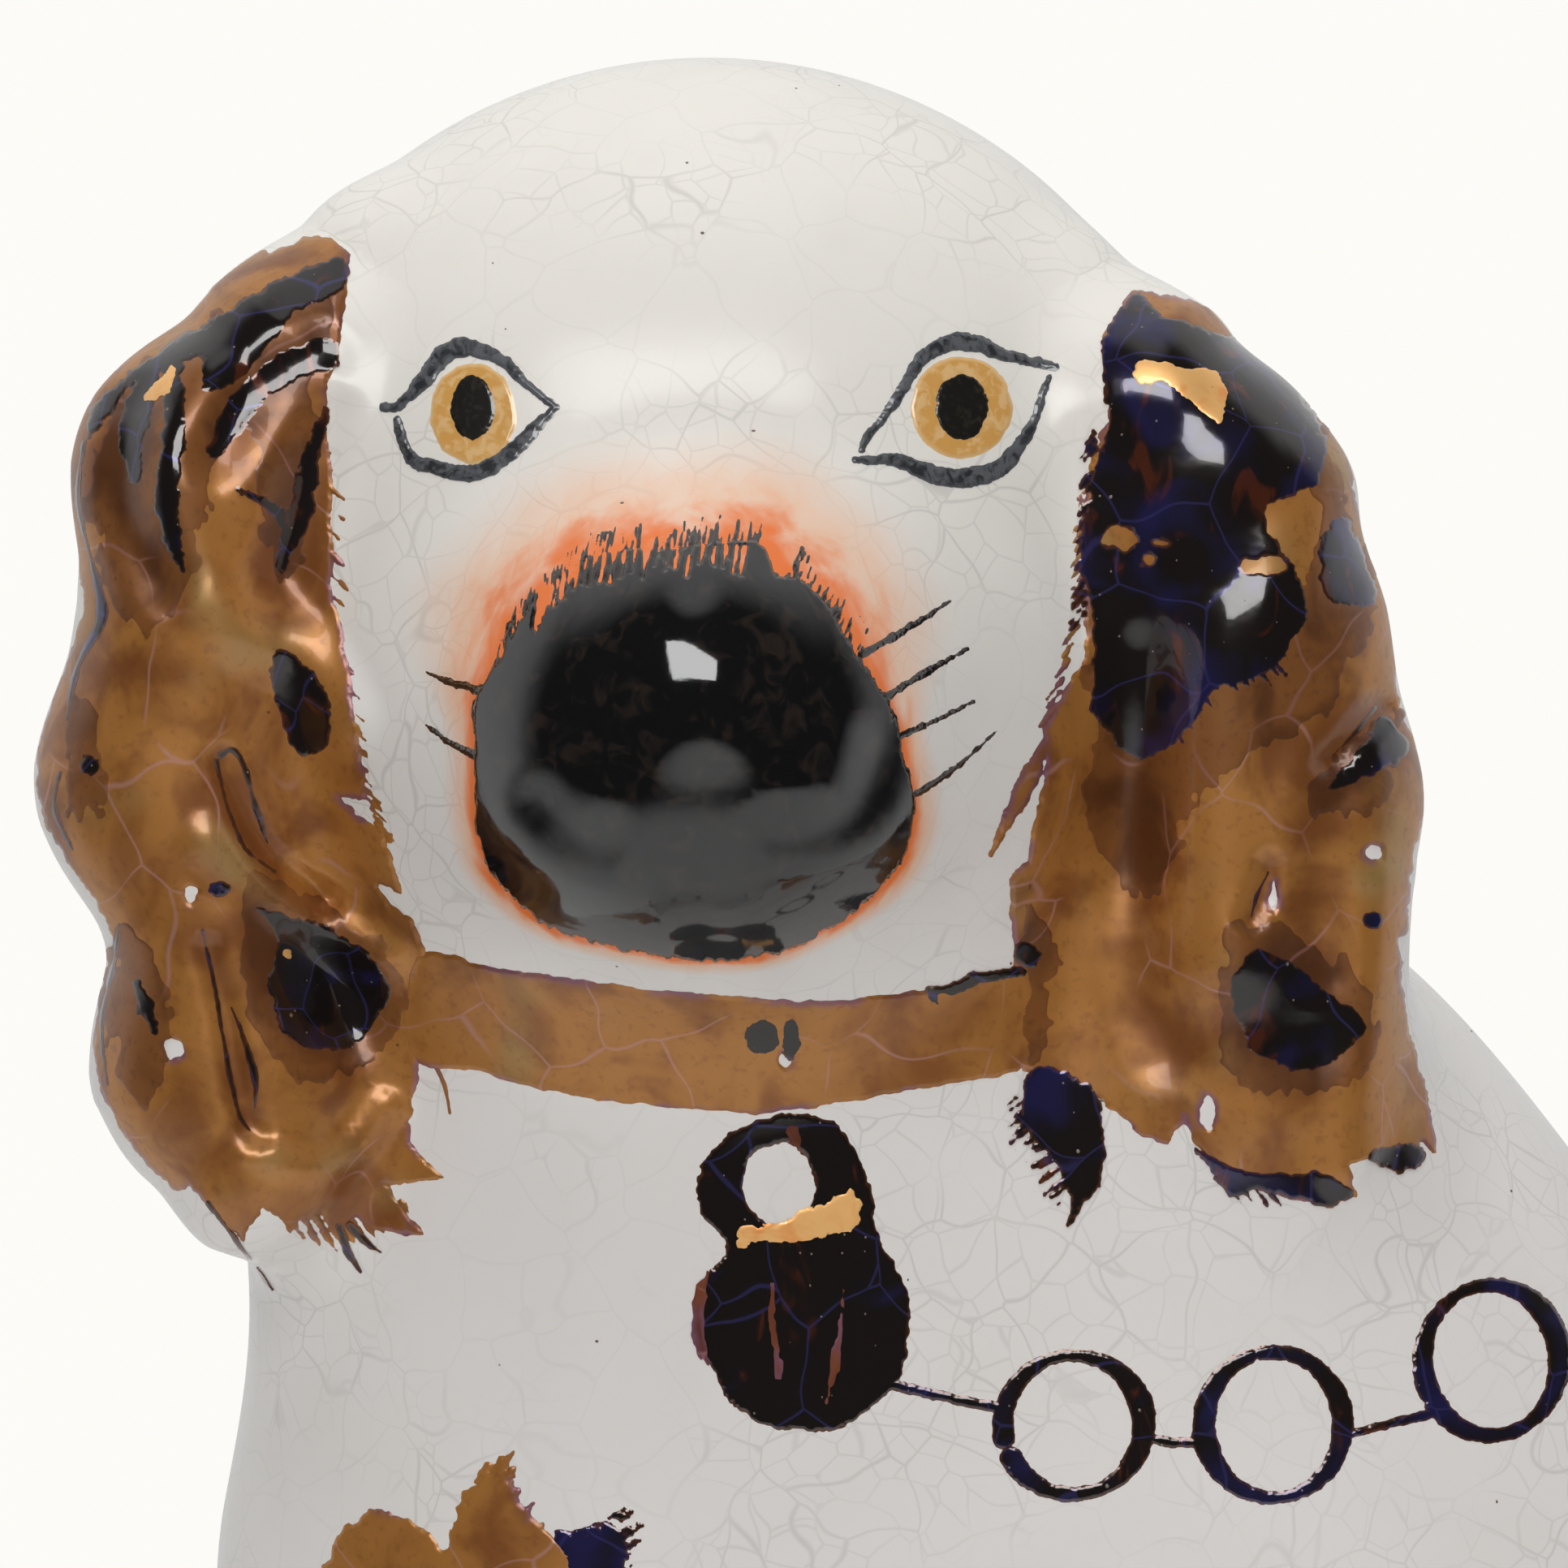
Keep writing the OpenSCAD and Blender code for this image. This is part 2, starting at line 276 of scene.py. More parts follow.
@dataclass
class Skin:
    """Triangles with a unit normal at every point, in millimetres.

    Attributes:
        points: Places, one row each.
        normals: Outward unit normals.
        triangles: Rows of three point numbers.
    """

    points: Array
    normals: Array
    triangles: Array

    def only(self, chosen: Array) -> Skin:
        """The chosen triangles with the points that they use."""
        triangles = self.triangles[chosen]
        used, inverse = np.unique(triangles, return_inverse=True)
        return Skin(self.points[used], self.normals[used], inverse.reshape(-1, 3))

    def edges(self) -> tuple[Array, Array]:
        """Every edge once, and the three edge numbers of each triangle."""
        t = self.triangles
        pairs = np.sort(np.stack((t, np.roll(t, -1, axis=1)), axis=2).reshape(-1, 2), axis=1)
        unique, inverse = np.unique(pairs[:, 0] * (len(self.points) + 1) + pairs[:, 1], return_inverse=True)
        n = len(self.points) + 1
        return np.stack((unique // n, unique % n), axis=1), inverse.reshape(-1, 3)

    def refined(self, target: Callable[[Array], Array], rounds: int) -> Skin:
        """Splits edges that are longer than a target length.

        Args:
            target: Gives the longest edge wanted at each of some points.
            rounds: How many times every edge may be halved.

        Returns:
            The finer skin. It has no cracks.
        """
        skin = self
        for _ in range(rounds):
            ends, of_triangle = skin.edges()
            a, b = skin.points[ends[:, 0]], skin.points[ends[:, 1]]
            length = np.linalg.norm(a - b, axis=1)
            split = length > target((a + b) / 2.0)
            longest = of_triangle[np.arange(len(of_triangle)), length[of_triangle].argmax(axis=1)]
            for _ in range(3):
                split[longest[split[of_triangle].any(axis=1)]] = True
            if not split.any():
                break
            skin = skin.halved(ends, of_triangle, split)
        return skin

    def halved(self, ends: Array, of_triangle: Array, split: Array) -> Skin:
        """Puts a point at the middle of each split edge and joins the triangles up again.

        Args:
            ends: The two ends of every edge.
            of_triangle: The edge numbers of each triangle.
            split: Which edges are split.

        Returns:
            The finer skin.
        """
        chosen = ends[split]
        number = np.full(len(ends), -1)
        number[split] = len(self.points) + np.arange(len(chosen))
        points = np.concatenate((self.points, self.points[chosen].mean(axis=1)))
        normals = np.concatenate((self.normals, unit(self.normals[chosen].sum(axis=1))))
        t, m = self.triangles, number[of_triangle]
        count = (m >= 0).sum(axis=1)
        made = [t[count == 0]]
        for k in range(3):
            a, b, c = (t[:, (k + i) % 3] for i in range(3))
            ab, bc, ca = (m[:, (k + i) % 3] for i in range(3))
            one = (count == 1) & (ab >= 0)
            made += [np.stack((a, ab, c), 1)[one], np.stack((ab, b, c), 1)[one]]
            two = (count == 2) & (ca < 0)
            made += [
                np.stack((ab, b, bc), 1)[two],
                np.stack((a, ab, bc), 1)[two],
                np.stack((a, bc, c), 1)[two],
            ]
        a, b, c, ab, bc, ca = (*t.T, *m.T)
        three = count == 3
        for corners in ((a, ab, ca), (ab, b, bc), (ca, bc, c), (ab, bc, ca)):
            made.append(np.stack(corners, 1)[three])
        return Skin(points, normals, np.concatenate(made))

    def cut(self, values: Array) -> tuple[Skin, Array]:
        """Keeps what lies where the values are above zero, with a clean edge along zero.

        Args:
            values: One number for each point.

        Returns:
            The kept skin and the value at each of its points, zero along the new edge.
        """
        values = np.where(np.abs(values) < 1e-4, 1e-4, values)
        touched = (values[self.triangles] > 0).any(axis=1)
        t = self.triangles[touched]
        inside = values[t] > 0
        count = inside.sum(axis=1)
        part = Skin(self.points, self.normals, t)
        ends, of_triangle = part.edges()
        va, vb = values[ends[:, 0]], values[ends[:, 1]]
        crossing = (va > 0) != (vb > 0)
        share = (va / np.where(crossing, va - vb, 1.0))[crossing, None]
        a, b = ends[crossing].T
        number = np.full(len(ends), -1)
        number[crossing] = len(self.points) + np.arange(len(a))
        points = np.concatenate((self.points, self.points[a] + share * (self.points[b] - self.points[a])))
        normals = np.concatenate(
            (self.normals, unit(self.normals[a] + share * (self.normals[b] - self.normals[a])))
        )
        value = np.concatenate((values, np.zeros(len(a))))
        m = number[of_triangle]
        made = [t[count == 3]]
        for k in range(3):
            a, b, c = (t[:, (k + i) % 3] for i in range(3))
            ab, bc, ca = (m[:, (k + i) % 3] for i in range(3))
            one = (count == 1) & inside[:, k]
            made.append(np.stack((a, ab, ca), 1)[one])
            two = (count == 2) & ~inside[:, (k + 2) % 3]
            made += [np.stack((a, b, bc), 1)[two], np.stack((a, bc, ca), 1)[two]]
        triangles = np.concatenate(made)
        used, inverse = np.unique(triangles, return_inverse=True)
        return Skin(points[used], normals[used], inverse.reshape(-1, 3)), value[used]

    def border(self) -> Array:
        """The open edges, each pointing the way its triangle turns."""
        t = self.triangles
        directed = np.stack((t, np.roll(t, -1, axis=1)), axis=2).reshape(-1, 2)
        n = len(self.points) + 1
        forward = directed[:, 0] * n + directed[:, 1]
        backward = directed[:, 1] * n + directed[:, 0]
        return directed[~np.isin(forward, backward)]


def unit(vectors: Array) -> Array:
    """Vectors of length one."""
    return vectors / np.maximum(np.linalg.norm(vectors, axis=1, keepdims=True), 1e-12)


def gradient(field: Field, points: Array, step: float = 0.05) -> Array:
    """How a field changes along X, Y and Z at some points."""
    sides = [field(points + d) - field(points - d) for d in np.eye(3) * step]
    return np.stack(sides, axis=1) / (2.0 * step)


def settle(field: Field, points: Array, rounds: int = 3) -> Array:
    """Moves points along the field's slope until they lie on its zero surface."""
    for _ in range(rounds):
        slope = gradient(field, points)
        size = np.maximum((slope * slope).sum(axis=1), 0.05)
        points = points - np.clip(field(points) / size, -0.6, 0.6)[:, None] * slope
    return points


def surface_net(field: Field, low: Array, high: Array, step: float) -> tuple[Array, Array]:
    """Wraps a field's zero surface in a net of squares.

    Args:
        field: Signed gap, negative inside.
        low: Lowest corner of the space searched.
        high: Highest corner.
        step: Size of the net's meshes.

    Returns:
        The net's points, and its triangles.
    """
    coarse = 4
    counts = (np.ceil((high - low) / step / coarse).astype(int)) * coarse
    coarse_axes = [low[i] + step * coarse * np.arange(counts[i] // coarse + 1) for i in range(3)]
    shape = tuple(len(a) for a in coarse_axes)
    nodes = np.stack(np.meshgrid(*coarse_axes, indexing="ij"), axis=-1).reshape(-1, 3)
    rough = field(nodes).reshape(shape)
    fine = np.repeat(np.repeat(np.repeat(rough, coarse, 0), coarse, 1), coarse, 2)
    fine = fine[: counts[0] + 1, : counts[1] + 1, : counts[2] + 1].copy()
    near = np.abs(rough) < step * coarse * 2.2
    wanted = np.zeros(fine.shape, bool)
    for node in np.argwhere(near) * coarse:
        wanted[tuple(slice(max(n - coarse, 0), n + coarse + 1) for n in node)] = True
    at = np.argwhere(wanted)
    fine[wanted] = field(low + at * step)
    inside = fine < 0
    corners = [(i, j, k) for i in (0, 1) for j in (0, 1) for k in (0, 1)]
    cut = [slice(0, -1), slice(1, None)]
    total = sum(inside[cut[i], cut[j], cut[k]].astype(np.int8) for i, j, k in corners)
    cells = np.argwhere((total > 0) & (total < 8))
    number = np.full([n - 1 for n in fine.shape], -1)
    number[tuple(cells.T)] = np.arange(len(cells))
    place, hits = np.zeros((len(cells), 3)), np.zeros(len(cells))
    for a in corners:
        for axis in range(3):
            if a[axis]:
                continue
            b = tuple(a[i] + (i == axis) for i in range(3))
            va, vb = (fine[tuple((cells + c).T)] for c in (a, b))
            crosses = (va < 0) != (vb < 0)
            share = np.where(crosses, va / np.where(crosses, va - vb, 1.0), 0.0)
            spot = np.array(a, float) + share[:, None] * np.eye(3)[axis]
            place += spot * crosses[:, None]
            hits += crosses
    points = low + (cells + place / hits[:, None]) * step
    squares = []
    for axis in range(3):
        u, v = (axis + 1) % 3, (axis + 2) % 3
        lower = inside[tuple(slice(0, -1) if i == axis else slice(1, -1) for i in range(3))]
        upper = inside[tuple(slice(1, None) if i == axis else slice(1, -1) for i in range(3))]
        for outward in (True, False):
            at = np.argwhere((lower & ~upper) if outward else (~lower & upper))
            if not len(at):
                continue
            du, dv = np.eye(3, dtype=int)[u], np.eye(3, dtype=int)[v]
            square = np.stack([number[tuple((at + s).T)] for s in (0 * du, du, du + dv, dv)], axis=1)
            squares.append(square if outward else square[:, ::-1])
    squares = np.concatenate(squares)
    return points, np.concatenate((squares[:, [0, 1, 2]], squares[:, [0, 2, 3]]))


# The figure's form.


def limb(line: Joints, thick: float, thin: float, reach: float) -> Loft:
    """A round limb, whose joints say where they are and how far they have gone from thick to thin."""
    return Loft(tuple((x, y, z, *((thick + (thin - thick) * share,) * 3)) for x, y, z, share in line), reach)


def ear_lock(line: Joints, half_depth: float, reach: float) -> Loft:
    """The locks down one ear, each with a middle and a half width, shallower at both ends."""
    last = len(line) - 1
    joints = []
    for i, (x, y, z, half) in enumerate(line):
        depth = half_depth * (0.6 if i in (0, last) else 1.0)
        joints.append((x, y, z, half, depth, half + 1.0))
    return Loft(tuple(joints), reach)


@dataclass(frozen=True)
class Paw:
    """Toes that fan out from a wrist towards -X.

    Attributes:
        wrist: The limb's last joint.
        radius: Half the wrist's thickness.
        reach: How far the toes go.
        toe: Half a toe's thickness.
    """

    wrist: Place
    radius: float
    reach: float
    toe: float

    def lofts(self) -> tuple[Loft, ...]:
        """One loft per toe."""
        toes = 4
        heel = self.radius * 0.8
        made = []
        for i in range(toes):
            side = (i - (toes - 1) / 2) * TOE_SPACING
            start = (self.wrist[0], self.wrist[1], heel, heel, heel, heel)
            end = (self.wrist[0] - self.reach, self.wrist[1] + side, self.toe, self.toe, self.toe, self.toe)
            made.append(Loft((start, end), 1.2))
        return tuple(made)


class Part(Enum):
    """The pieces that are luted together, and what each is called."""

    BODY = "body"
    LEFT_EAR = "left_ear"
    RIGHT_EAR = "right_ear"
    NEAR_FORELEG = "near_foreleg"
    FAR_FORELEG = "far_foreleg"
    TAIL = "tail"


EAR_LOCKS = (
    Ridge(
        ((-44.5, 227.5), (-47, 219.5), (-46.5, 214), (-43.5, 208), (-39, 204.5), (-36, 203.5), (-33, 198)),
        4.5, 1.0,
    ),
    Ridge(((-34.5, 229), (-39, 226.5), (-43.5, 220.5)), 4.0, -1.0),
    Ridge(((-34.5, 224), (-36, 217), (-38, 211)), 4.0, -0.9),
    Ridge(((-50.5, 224), (-50.5, 216), (-47.5, 210)), 4.0, -1.1),
    Ridge(((-44, 187.5), (-40, 184.5), (-34.5, 180.5), (-29.5, 177.5)), 3.5, 1.0),
    Ridge(((-43, 194.5), (-41, 190), (-39, 186), (-34, 182.5)), 2.2, -1.0),
    Ridge(((-44, 178.5), (-42.5, 173), (-41.5, 167), (-40, 162.5)), 2.2, -1.0),
    Ridge(((-40, 161.5), (-36, 160), (-32, 161.5), (-29, 165)), 2.5, 0.7),
    Ridge(((-36, 178), (-33, 172)), 6.0, -1.3),
    Ridge(((52, 218), (46, 208), (42, 198), (41, 188), (43, 178)), 6.0, 1.1),
    Ridge(((36, 203), (35, 192), (35.5, 181), (38, 170)), 5.0, -1.0),
    Ridge(((55.5, 199), (53, 196.5), (51, 194.5)), 2.2, -1.0),
    Ridge(((46, 185.5), (45.5, 183), (44.5, 181)), 2.0, -1.0),
    Ridge(((52, 193), (50, 186), (50.5, 177)), 4.0, -0.9),
    Ridge(((56, 184), (55.5, 176), (54, 168), (53, 160)), 4.0, 1.0),
    Ridge(((48, 177), (48.5, 171)), 6.0, -0.9),
    Ridge(((40, 226), (43, 222)), 8.0, 0.8),
)
FACE_MODELLING = (
    Ridge(((-3, 205), (-2, 202)), 11.0, 1.6),
    Ridge(((-15.5, 191), (-13, 188.5), (-10.5, 187.5)), 4.0, -0.6),
    Ridge(((4.5, 188.5), (8, 189), (11, 191), (13, 196)), 4.0, -0.6),
    Ridge(((-2, 192), (-2, 186), (-1.5, 179)), 5.0, -0.6),
)


@dataclass(frozen=True)
class Form:
    """The whole figure as one clay surface, and which luted part each place belongs to.

    Attributes:
        masses: The body and the head.
        hind_foot: Joints of the hind foot, and the share from thick to thin, as in the other limbs.
        left_ear: Middle and half width of each lock.
        right_ear: The same for the other ear.
        near_leg: Joints of the nearer foreleg.
        far_leg: Joints of the other foreleg.
        tail: Joints of the tail.
        ridges: The modelling on the ears and the face.
    """

    masses: tuple[Mass, ...] = (
        Mass((-1.5, 0, 213), (42.5, 34, 41)),
        Mass((-1, -9, 197), (34, 30, 24), reach=12),
        Mass((-2, -31, 202), (19.5, 22, 19.5), reach=9),
        Mass((-1, 0, 166), (41, 28, 36), reach=14),
        Mass((34, 4, 148), (36, 28, 40), -20, 16),
        Mass((-2, 0, 122), (42, 32, 44), reach=16),
        Mass((57, 4, 108), (45, 35, 66), -38, 18),
        Mass((79, 3, 52), (51, 39, 56), reach=18),
        Mass((30, 2, 44), (50, 33, 52), reach=16),
        Mass((50, 1, 4), (66, 33, 22), reach=22),
        Mass((72, -19, 46), (38, 23, 44), -10, 5),
        Mass((74, 20, 44), (36, 21, 40), -10, 6),
    )
    hind_foot: Joints = (
        (68, -30, 11, 0), (57, -34, 10.5, 0.1), (46, -36, 9.5, 0.2), (35, -37, 9, 0.3), (26, -37, 8.5, 0.4),
    )
    left_ear: Joints = (
        (-29, -8, 235, 7), (-35, -10, 228.5, 9.5), (-42, -13, 219.5, 11.8), (-43.5, -14, 208.5, 9.8),
        (-45, -14, 195, 12), (-41.5, -14, 183, 9.6), (-40.5, -14, 171.5, 12.3), (-38.5, -14, 164, 8.5),
        (-36, -12, 161, 6),
    )
    right_ear: Joints = (
        (28, -8, 231, 6), (34, -11, 226, 9), (39, -13, 217.5, 12), (42, -14, 206, 12.8),
        (44.5, -14, 193, 13.2), (43, -14, 182, 13.2), (43, -13, 171, 14.5), (46, -11, 164, 13.5),
        (50, -9, 161, 10),
    )
    near_leg: Joints = (
        (-20, -15, 108, 0), (-25, -19, 92, 0.2), (-28, -22, 73, 0.5), (-30, -23, 52, 0.8), (-31, -23, 31, 1),
        (-32, -23, 10.5, 1),
    )
    far_leg: Joints = (
        (-25, 13, 108, 0), (-33, 12, 92, 0.2), (-38, 10, 73, 0.5), (-41, 9, 52, 0.8), (-43, 8, 31, 1),
        (-44, 7, 10.5, 1),
    )
    tail: Joints = (
        (111, 22, 12, 0), (118, 12, 13, 0), (120, -2, 14, 0.05), (116, -16, 16, 0.1), (109, -29, 20, 0.2),
        (99, -38, 27, 0.35), (90, -41, 37, 0.5), (85, -41, 49, 0.7), (86, -39, 60, 0.9), (92, -36, 67, 1),
    )
    ridges: tuple[Ridge, ...] = EAR_LOCKS + FACE_MODELLING

    def body_lofts(self) -> tuple[Loft, ...]:
        """The hind foot, which is pressed in the same mould as the body."""
        toes = Paw(self.hind_foot[-1][:3], 9.0, HIND_TOE_REACH, 4.8).lofts()
        return (limb(self.hind_foot, 11.5, 6.0, 5.0), *toes)

    @staticmethod
    def foreleg(line: Joints) -> tuple[Loft, ...]:
        """One foreleg and its toes."""
        thick, thin, reach, toe = 15.5, 9.6, 6.0, 4.7
        return (limb(line, thick, thin, reach), *Paw(line[-1][:3], thin, FORE_TOE_REACH, toe).lofts())

    def luted(self) -> dict[Part, tuple[Loft, ...]]:
        """The lofts of each part that is luted on."""
        return {
            Part.LEFT_EAR: (ear_lock(self.left_ear, 14.0, 6.0),),
            Part.RIGHT_EAR: (ear_lock(self.right_ear, 14.0, 6.0),),
            Part.NEAR_FORELEG: self.foreleg(self.near_leg),
            Part.FAR_FORELEG: self.foreleg(self.far_leg),
            Part.TAIL: (limb(self.tail, 10.2, 5.8, 3.0),),
        }

    def body_gap(self, points: Array) -> Array:
        """Signed gap to the moulded body alone."""
        gap = self.masses[0].gap(points)
        for mass in self.masses[1:]:
            gap = melt(gap, mass.gap(points), mass.reach)
        for loft in self.body_lofts():
            gap = melt(gap, loft.gap(points), loft.reach)
        return gap

    def part_gap(self, part: Part, points: Array) -> Array:
        """Signed gap to one luted part alone."""
        gap = np.full(len(points), 16.0)
        for loft in self.luted()[part]:
            gap = melt(gap, loft.gap(points), 1.2)
        return gap

    def gap(self, points: Array) -> Array:
        """Signed gap to the whole figure, with its relief, cut flat at the table."""
        gap = self.body_gap(points)
        for part, lofts in self.luted().items():
            gap = melt(gap, self.part_gap(part, points), lofts[0].reach)
        front = smooth_step(2.0, -8.0, points[:, 1])
        gap = gap - front * self.relief(SIGHT.drawn(points))
        return np.maximum(gap, -points[:, 2])

    def relief(self, drawn: Array) -> Array:
        """Height of the modelling at drawn points."""
        return sum(ridge.rise(drawn) for ridge in self.ridges)

    def belongs(self, part: Part, points: Array) -> Array:
        """Above zero where a place belongs to a part, by which clay is nearest."""
        gaps = {Part.BODY: self.body_gap(points)}
        for other in self.luted():
            gaps[other] = self.part_gap(other, points)
        mine = gaps.pop(part)
        return np.min(list(gaps.values()), axis=0) - mine


@dataclass(frozen=True)
class Placement:
    """Carries set-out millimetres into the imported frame's metres.

    Attributes:
        frame_low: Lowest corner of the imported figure, in metres.
        frame_high: Its highest corner.
        low: Lowest corner of the set-out figure.
        high: Highest corner of the set-out figure.
    """

    frame_low: Place
    frame_high: Place
    low: Place = (-61.8, -52.7, 0.0)
    high: Place = (130.25, 42.9, 254.0)

    def placed(self, points: Array) -> Array:
        """Set-out places in the frame."""
        low, high = np.array(self.frame_low), np.array(self.frame_high)
        scale = (high - low) / (np.array(self.high) - np.array(self.low))
        return low + (points - np.array(self.low)) * scale


def put_in_scene(name: str, data: bpy.types.ID) -> bpy.types.Object:
    """A new object in the scene, at the origin."""
    made = bpy.data.objects.new(name, data)
    bpy.context.scene.collection.objects.link(made)
    return made


def make_object(name: str, points: Array, triangles: Array, normals: Array, finish: Finish,
                values: dict[str, Array]) -> bpy.types.Object:
    """Makes a mesh object from arrays.

    Args:
        name: The piece's name.
        points: Places in metres.
        triangles: Rows of three point numbers.
        normals: One normal for each corner of each triangle.
        finish: The piece's finish.
        values: Named numbers for each point, which the finish reads.

    Returns:
        The object, at the origin, in the scene.
    """
    mesh = bpy.data.meshes.new(name)
    mesh.vertices.add(len(points))
    mesh.vertices.foreach_set("co", points.astype(np.float32).ravel())
    mesh.loops.add(triangles.size)
    mesh.loops.foreach_set("vertex_index", triangles.astype(np.int32).ravel())
    mesh.polygons.add(len(triangles))
    mesh.polygons.foreach_set("loop_start", np.arange(0, triangles.size, 3, dtype=np.int32))
    mesh.polygons.foreach_set("use_smooth", np.ones(len(triangles), bool))
    for title, numbers in values.items():
        mesh.attributes.new(title, "FLOAT", "POINT").data.foreach_set("value", numbers.astype(np.float32))
    mesh.update(calc_edges=True)
    mesh.validate()
    mesh.normals_split_custom_set(unit(normals).astype(np.float32))
    mesh.materials.append(finish.material())
    return put_in_scene(name, mesh)


def put_on(piece: bpy.types.Object, slot: Slot, replaces: str | None = None) -> None:
    """Rides a piece on the figure, hides the CAD node it stands for, and logs it with its slot's name."""
    if replaces:
        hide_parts(replaces)
    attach(piece, "root")
    LOG.info("%s: %d faces, %s", piece.name, len(piece.data.polygons), slot.value)


def flat_normals(points: Array, triangles: Array) -> Array:
    """Each triangle's normal, as long as twice its area."""
    a, b, c = (points[triangles[:, i]] for i in range(3))
    return np.cross(b - a, c - a)


def corner_normals(points: Array, triangles: Array) -> Array:
    """A normal at every point, from the triangles round it."""
    flat = flat_normals(points, triangles)
    total = np.zeros_like(points)
    for i in range(3):
        for axis in range(3):
            total[:, axis] += np.bincount(triangles[:, i], flat[:, axis], len(points))
    return unit(total)


@dataclass(frozen=True)
class Clay:
    """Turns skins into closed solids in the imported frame."""

    placement: Placement

    def solid(self, name: str, skin: Skin, under: Array, finish: Finish, top: Array | None = None,
              top_normals: Array | None = None, values: dict[str, Array] | None = None) -> bpy.types.Object:
        """Closes a skin with a second sheet under it and a rim between them.

        Args:
            name: The piece's name.
            skin: The outer skin.
            under: Where each of its points lies on the under sheet.
            finish: The piece's finish.
            top: Where each of its points lies on the top sheet, if not on the skin.
            top_normals: The top sheet's normals, if not the skin's.
            values: Named numbers for each point of the skin.

        Returns:
            The piece.
        """
        top = skin.points if top is None else top
        normals = skin.normals if top_normals is None else top_normals
        n, t, rim = len(skin.points), skin.triangles, skin.border()
        a, b = rim.T
        edge = np.concatenate((np.stack((b, a, a + n), 1), np.stack((b, a + n, b + n), 1)))
        points = np.concatenate((top, under))
        triangles = np.concatenate((t, t[:, ::-1] + n, edge))
        rim_normals = np.repeat(flat_normals(points, edge), 3, axis=0)
        top_corners, under_corners = normals[t].reshape(-1, 3), -skin.normals[t[:, ::-1]].reshape(-1, 3)
        corners = np.concatenate((top_corners, under_corners, rim_normals))
        doubled = {title: np.concatenate((v, v)) for title, v in (values or {}).items()}
        return make_object(name, self.placement.placed(points), triangles, corners, finish, doubled)

    def capped(self, name: str, skin: Skin, root: Place, finish: Finish) -> bpy.types.Object:
        """Closes a luted part's skin with a cone from its rim to a root inside the body.

        Args:
            name: The piece's name.
            skin: The part's skin, open where it meets the body.
            root: Where the cone comes to a point.
            finish: The piece's finish.

        Returns:
            The piece.
        """
        n, rim = len(skin.points), skin.border()
        a, b = rim.T
        cone = np.stack((b, a, np.full(len(a), n)), 1)
        points = np.concatenate((skin.points, [root]))
        triangles = np.concatenate((skin.triangles, cone))
        cone_normals = np.repeat(flat_normals(points, cone), 3, axis=0)
        corners = np.concatenate((skin.normals[skin.triangles].reshape(-1, 3), cone_normals))
        far_from_edge = {"inside": np.full(len(points), 5.0)}
        return make_object(name, self.placement.placed(points), triangles, corners, finish, far_from_edge)


# Brushwork: shapes drawn on the drawing plane and laid on the figure as thin films of colour.


def unevenness(drawn: Array, grain: Mark, seed: int) -> Array:
    """Smooth random values from -1 to 1 over the drawing plane.

    Args:
        drawn: Points on the plane.
        grain: How far apart the values change, across and up.
        seed: Picks the pattern.

    Returns:
        One value per point.
    """
    side = 64
    table = np.random.default_rng(seed).uniform(-1.0, 1.0, (side, side))
    q = drawn / np.array(grain)
    cell = np.floor(q).astype(int)
    t = q - cell
    t = t * t * (3.0 - 2.0 * t)
    total = np.zeros(len(drawn))
    for i in (0, 1):
        for j in (0, 1):
            across = t[:, 0] if i else 1.0 - t[:, 0]
            up = t[:, 1] if j else 1.0 - t[:, 1]
            total += across * up * table[(cell[:, 0] + i) % side, (cell[:, 1] + j) % side]
    return total


@dataclass(frozen=True)
class Patch:
    """A filled shape.

    Attributes:
        marks: Its outline, in order.
        curved: Whether the outline curves through the marks or runs straight between them.
    """

    marks: tuple[Mark, ...]
    curved: bool = True

    def extent(self) -> tuple[Array, Array]:
        """Lowest and highest corner of the shape."""
        return np.min(self.marks, axis=0), np.max(self.marks, axis=0)

    def depth(self, drawn: Array) -> Array:
        """How far inside the outline each point lies, negative outside."""
        line = curve_through(self.marks, closed=True, steps=4) if self.curved else np.array(self.marks, float)
        line = np.concatenate((line, line[:1]))
        distance, _ = line_distance(drawn, line)
        inside = np.zeros(len(drawn), bool)
        for a, b in zip(line, line[1:]):
            if a[1] == b[1]:
                continue
            between = (a[1] > drawn[:, 1]) != (b[1] > drawn[:, 1])
            across = a[0] + (drawn[:, 1] - a[1]) * (b[0] - a[0]) / (b[1] - a[1])
            inside ^= between & (drawn[:, 0] < across)
        return np.where(inside, distance, -distance)


@dataclass(frozen=True)
class Stroke:
    """One stroke of the brush.

    Attributes:
        marks: Where the brush goes.
        half_widths: Half the stroke's width at even steps along it.
    """

    marks: tuple[Mark, ...]
    half_widths: tuple[float, ...] = (0.4,)

    def extent(self) -> tuple[Array, Array]:
        """Lowest and highest corner of the shape."""
        reach = max(self.half_widths)
        return np.min(self.marks, axis=0) - reach, np.max(self.marks, axis=0) + reach

    def depth(self, drawn: Array) -> Array:
        """How far inside the stroke each point lies, negative outside."""
        distance, share = line_distance(drawn, curve_through(self.marks, steps=5))
        steps = np.linspace(0.0, 1.0, len(self.half_widths))
        return np.interp(share, steps, self.half_widths) - distance


Shape = Patch | Stroke


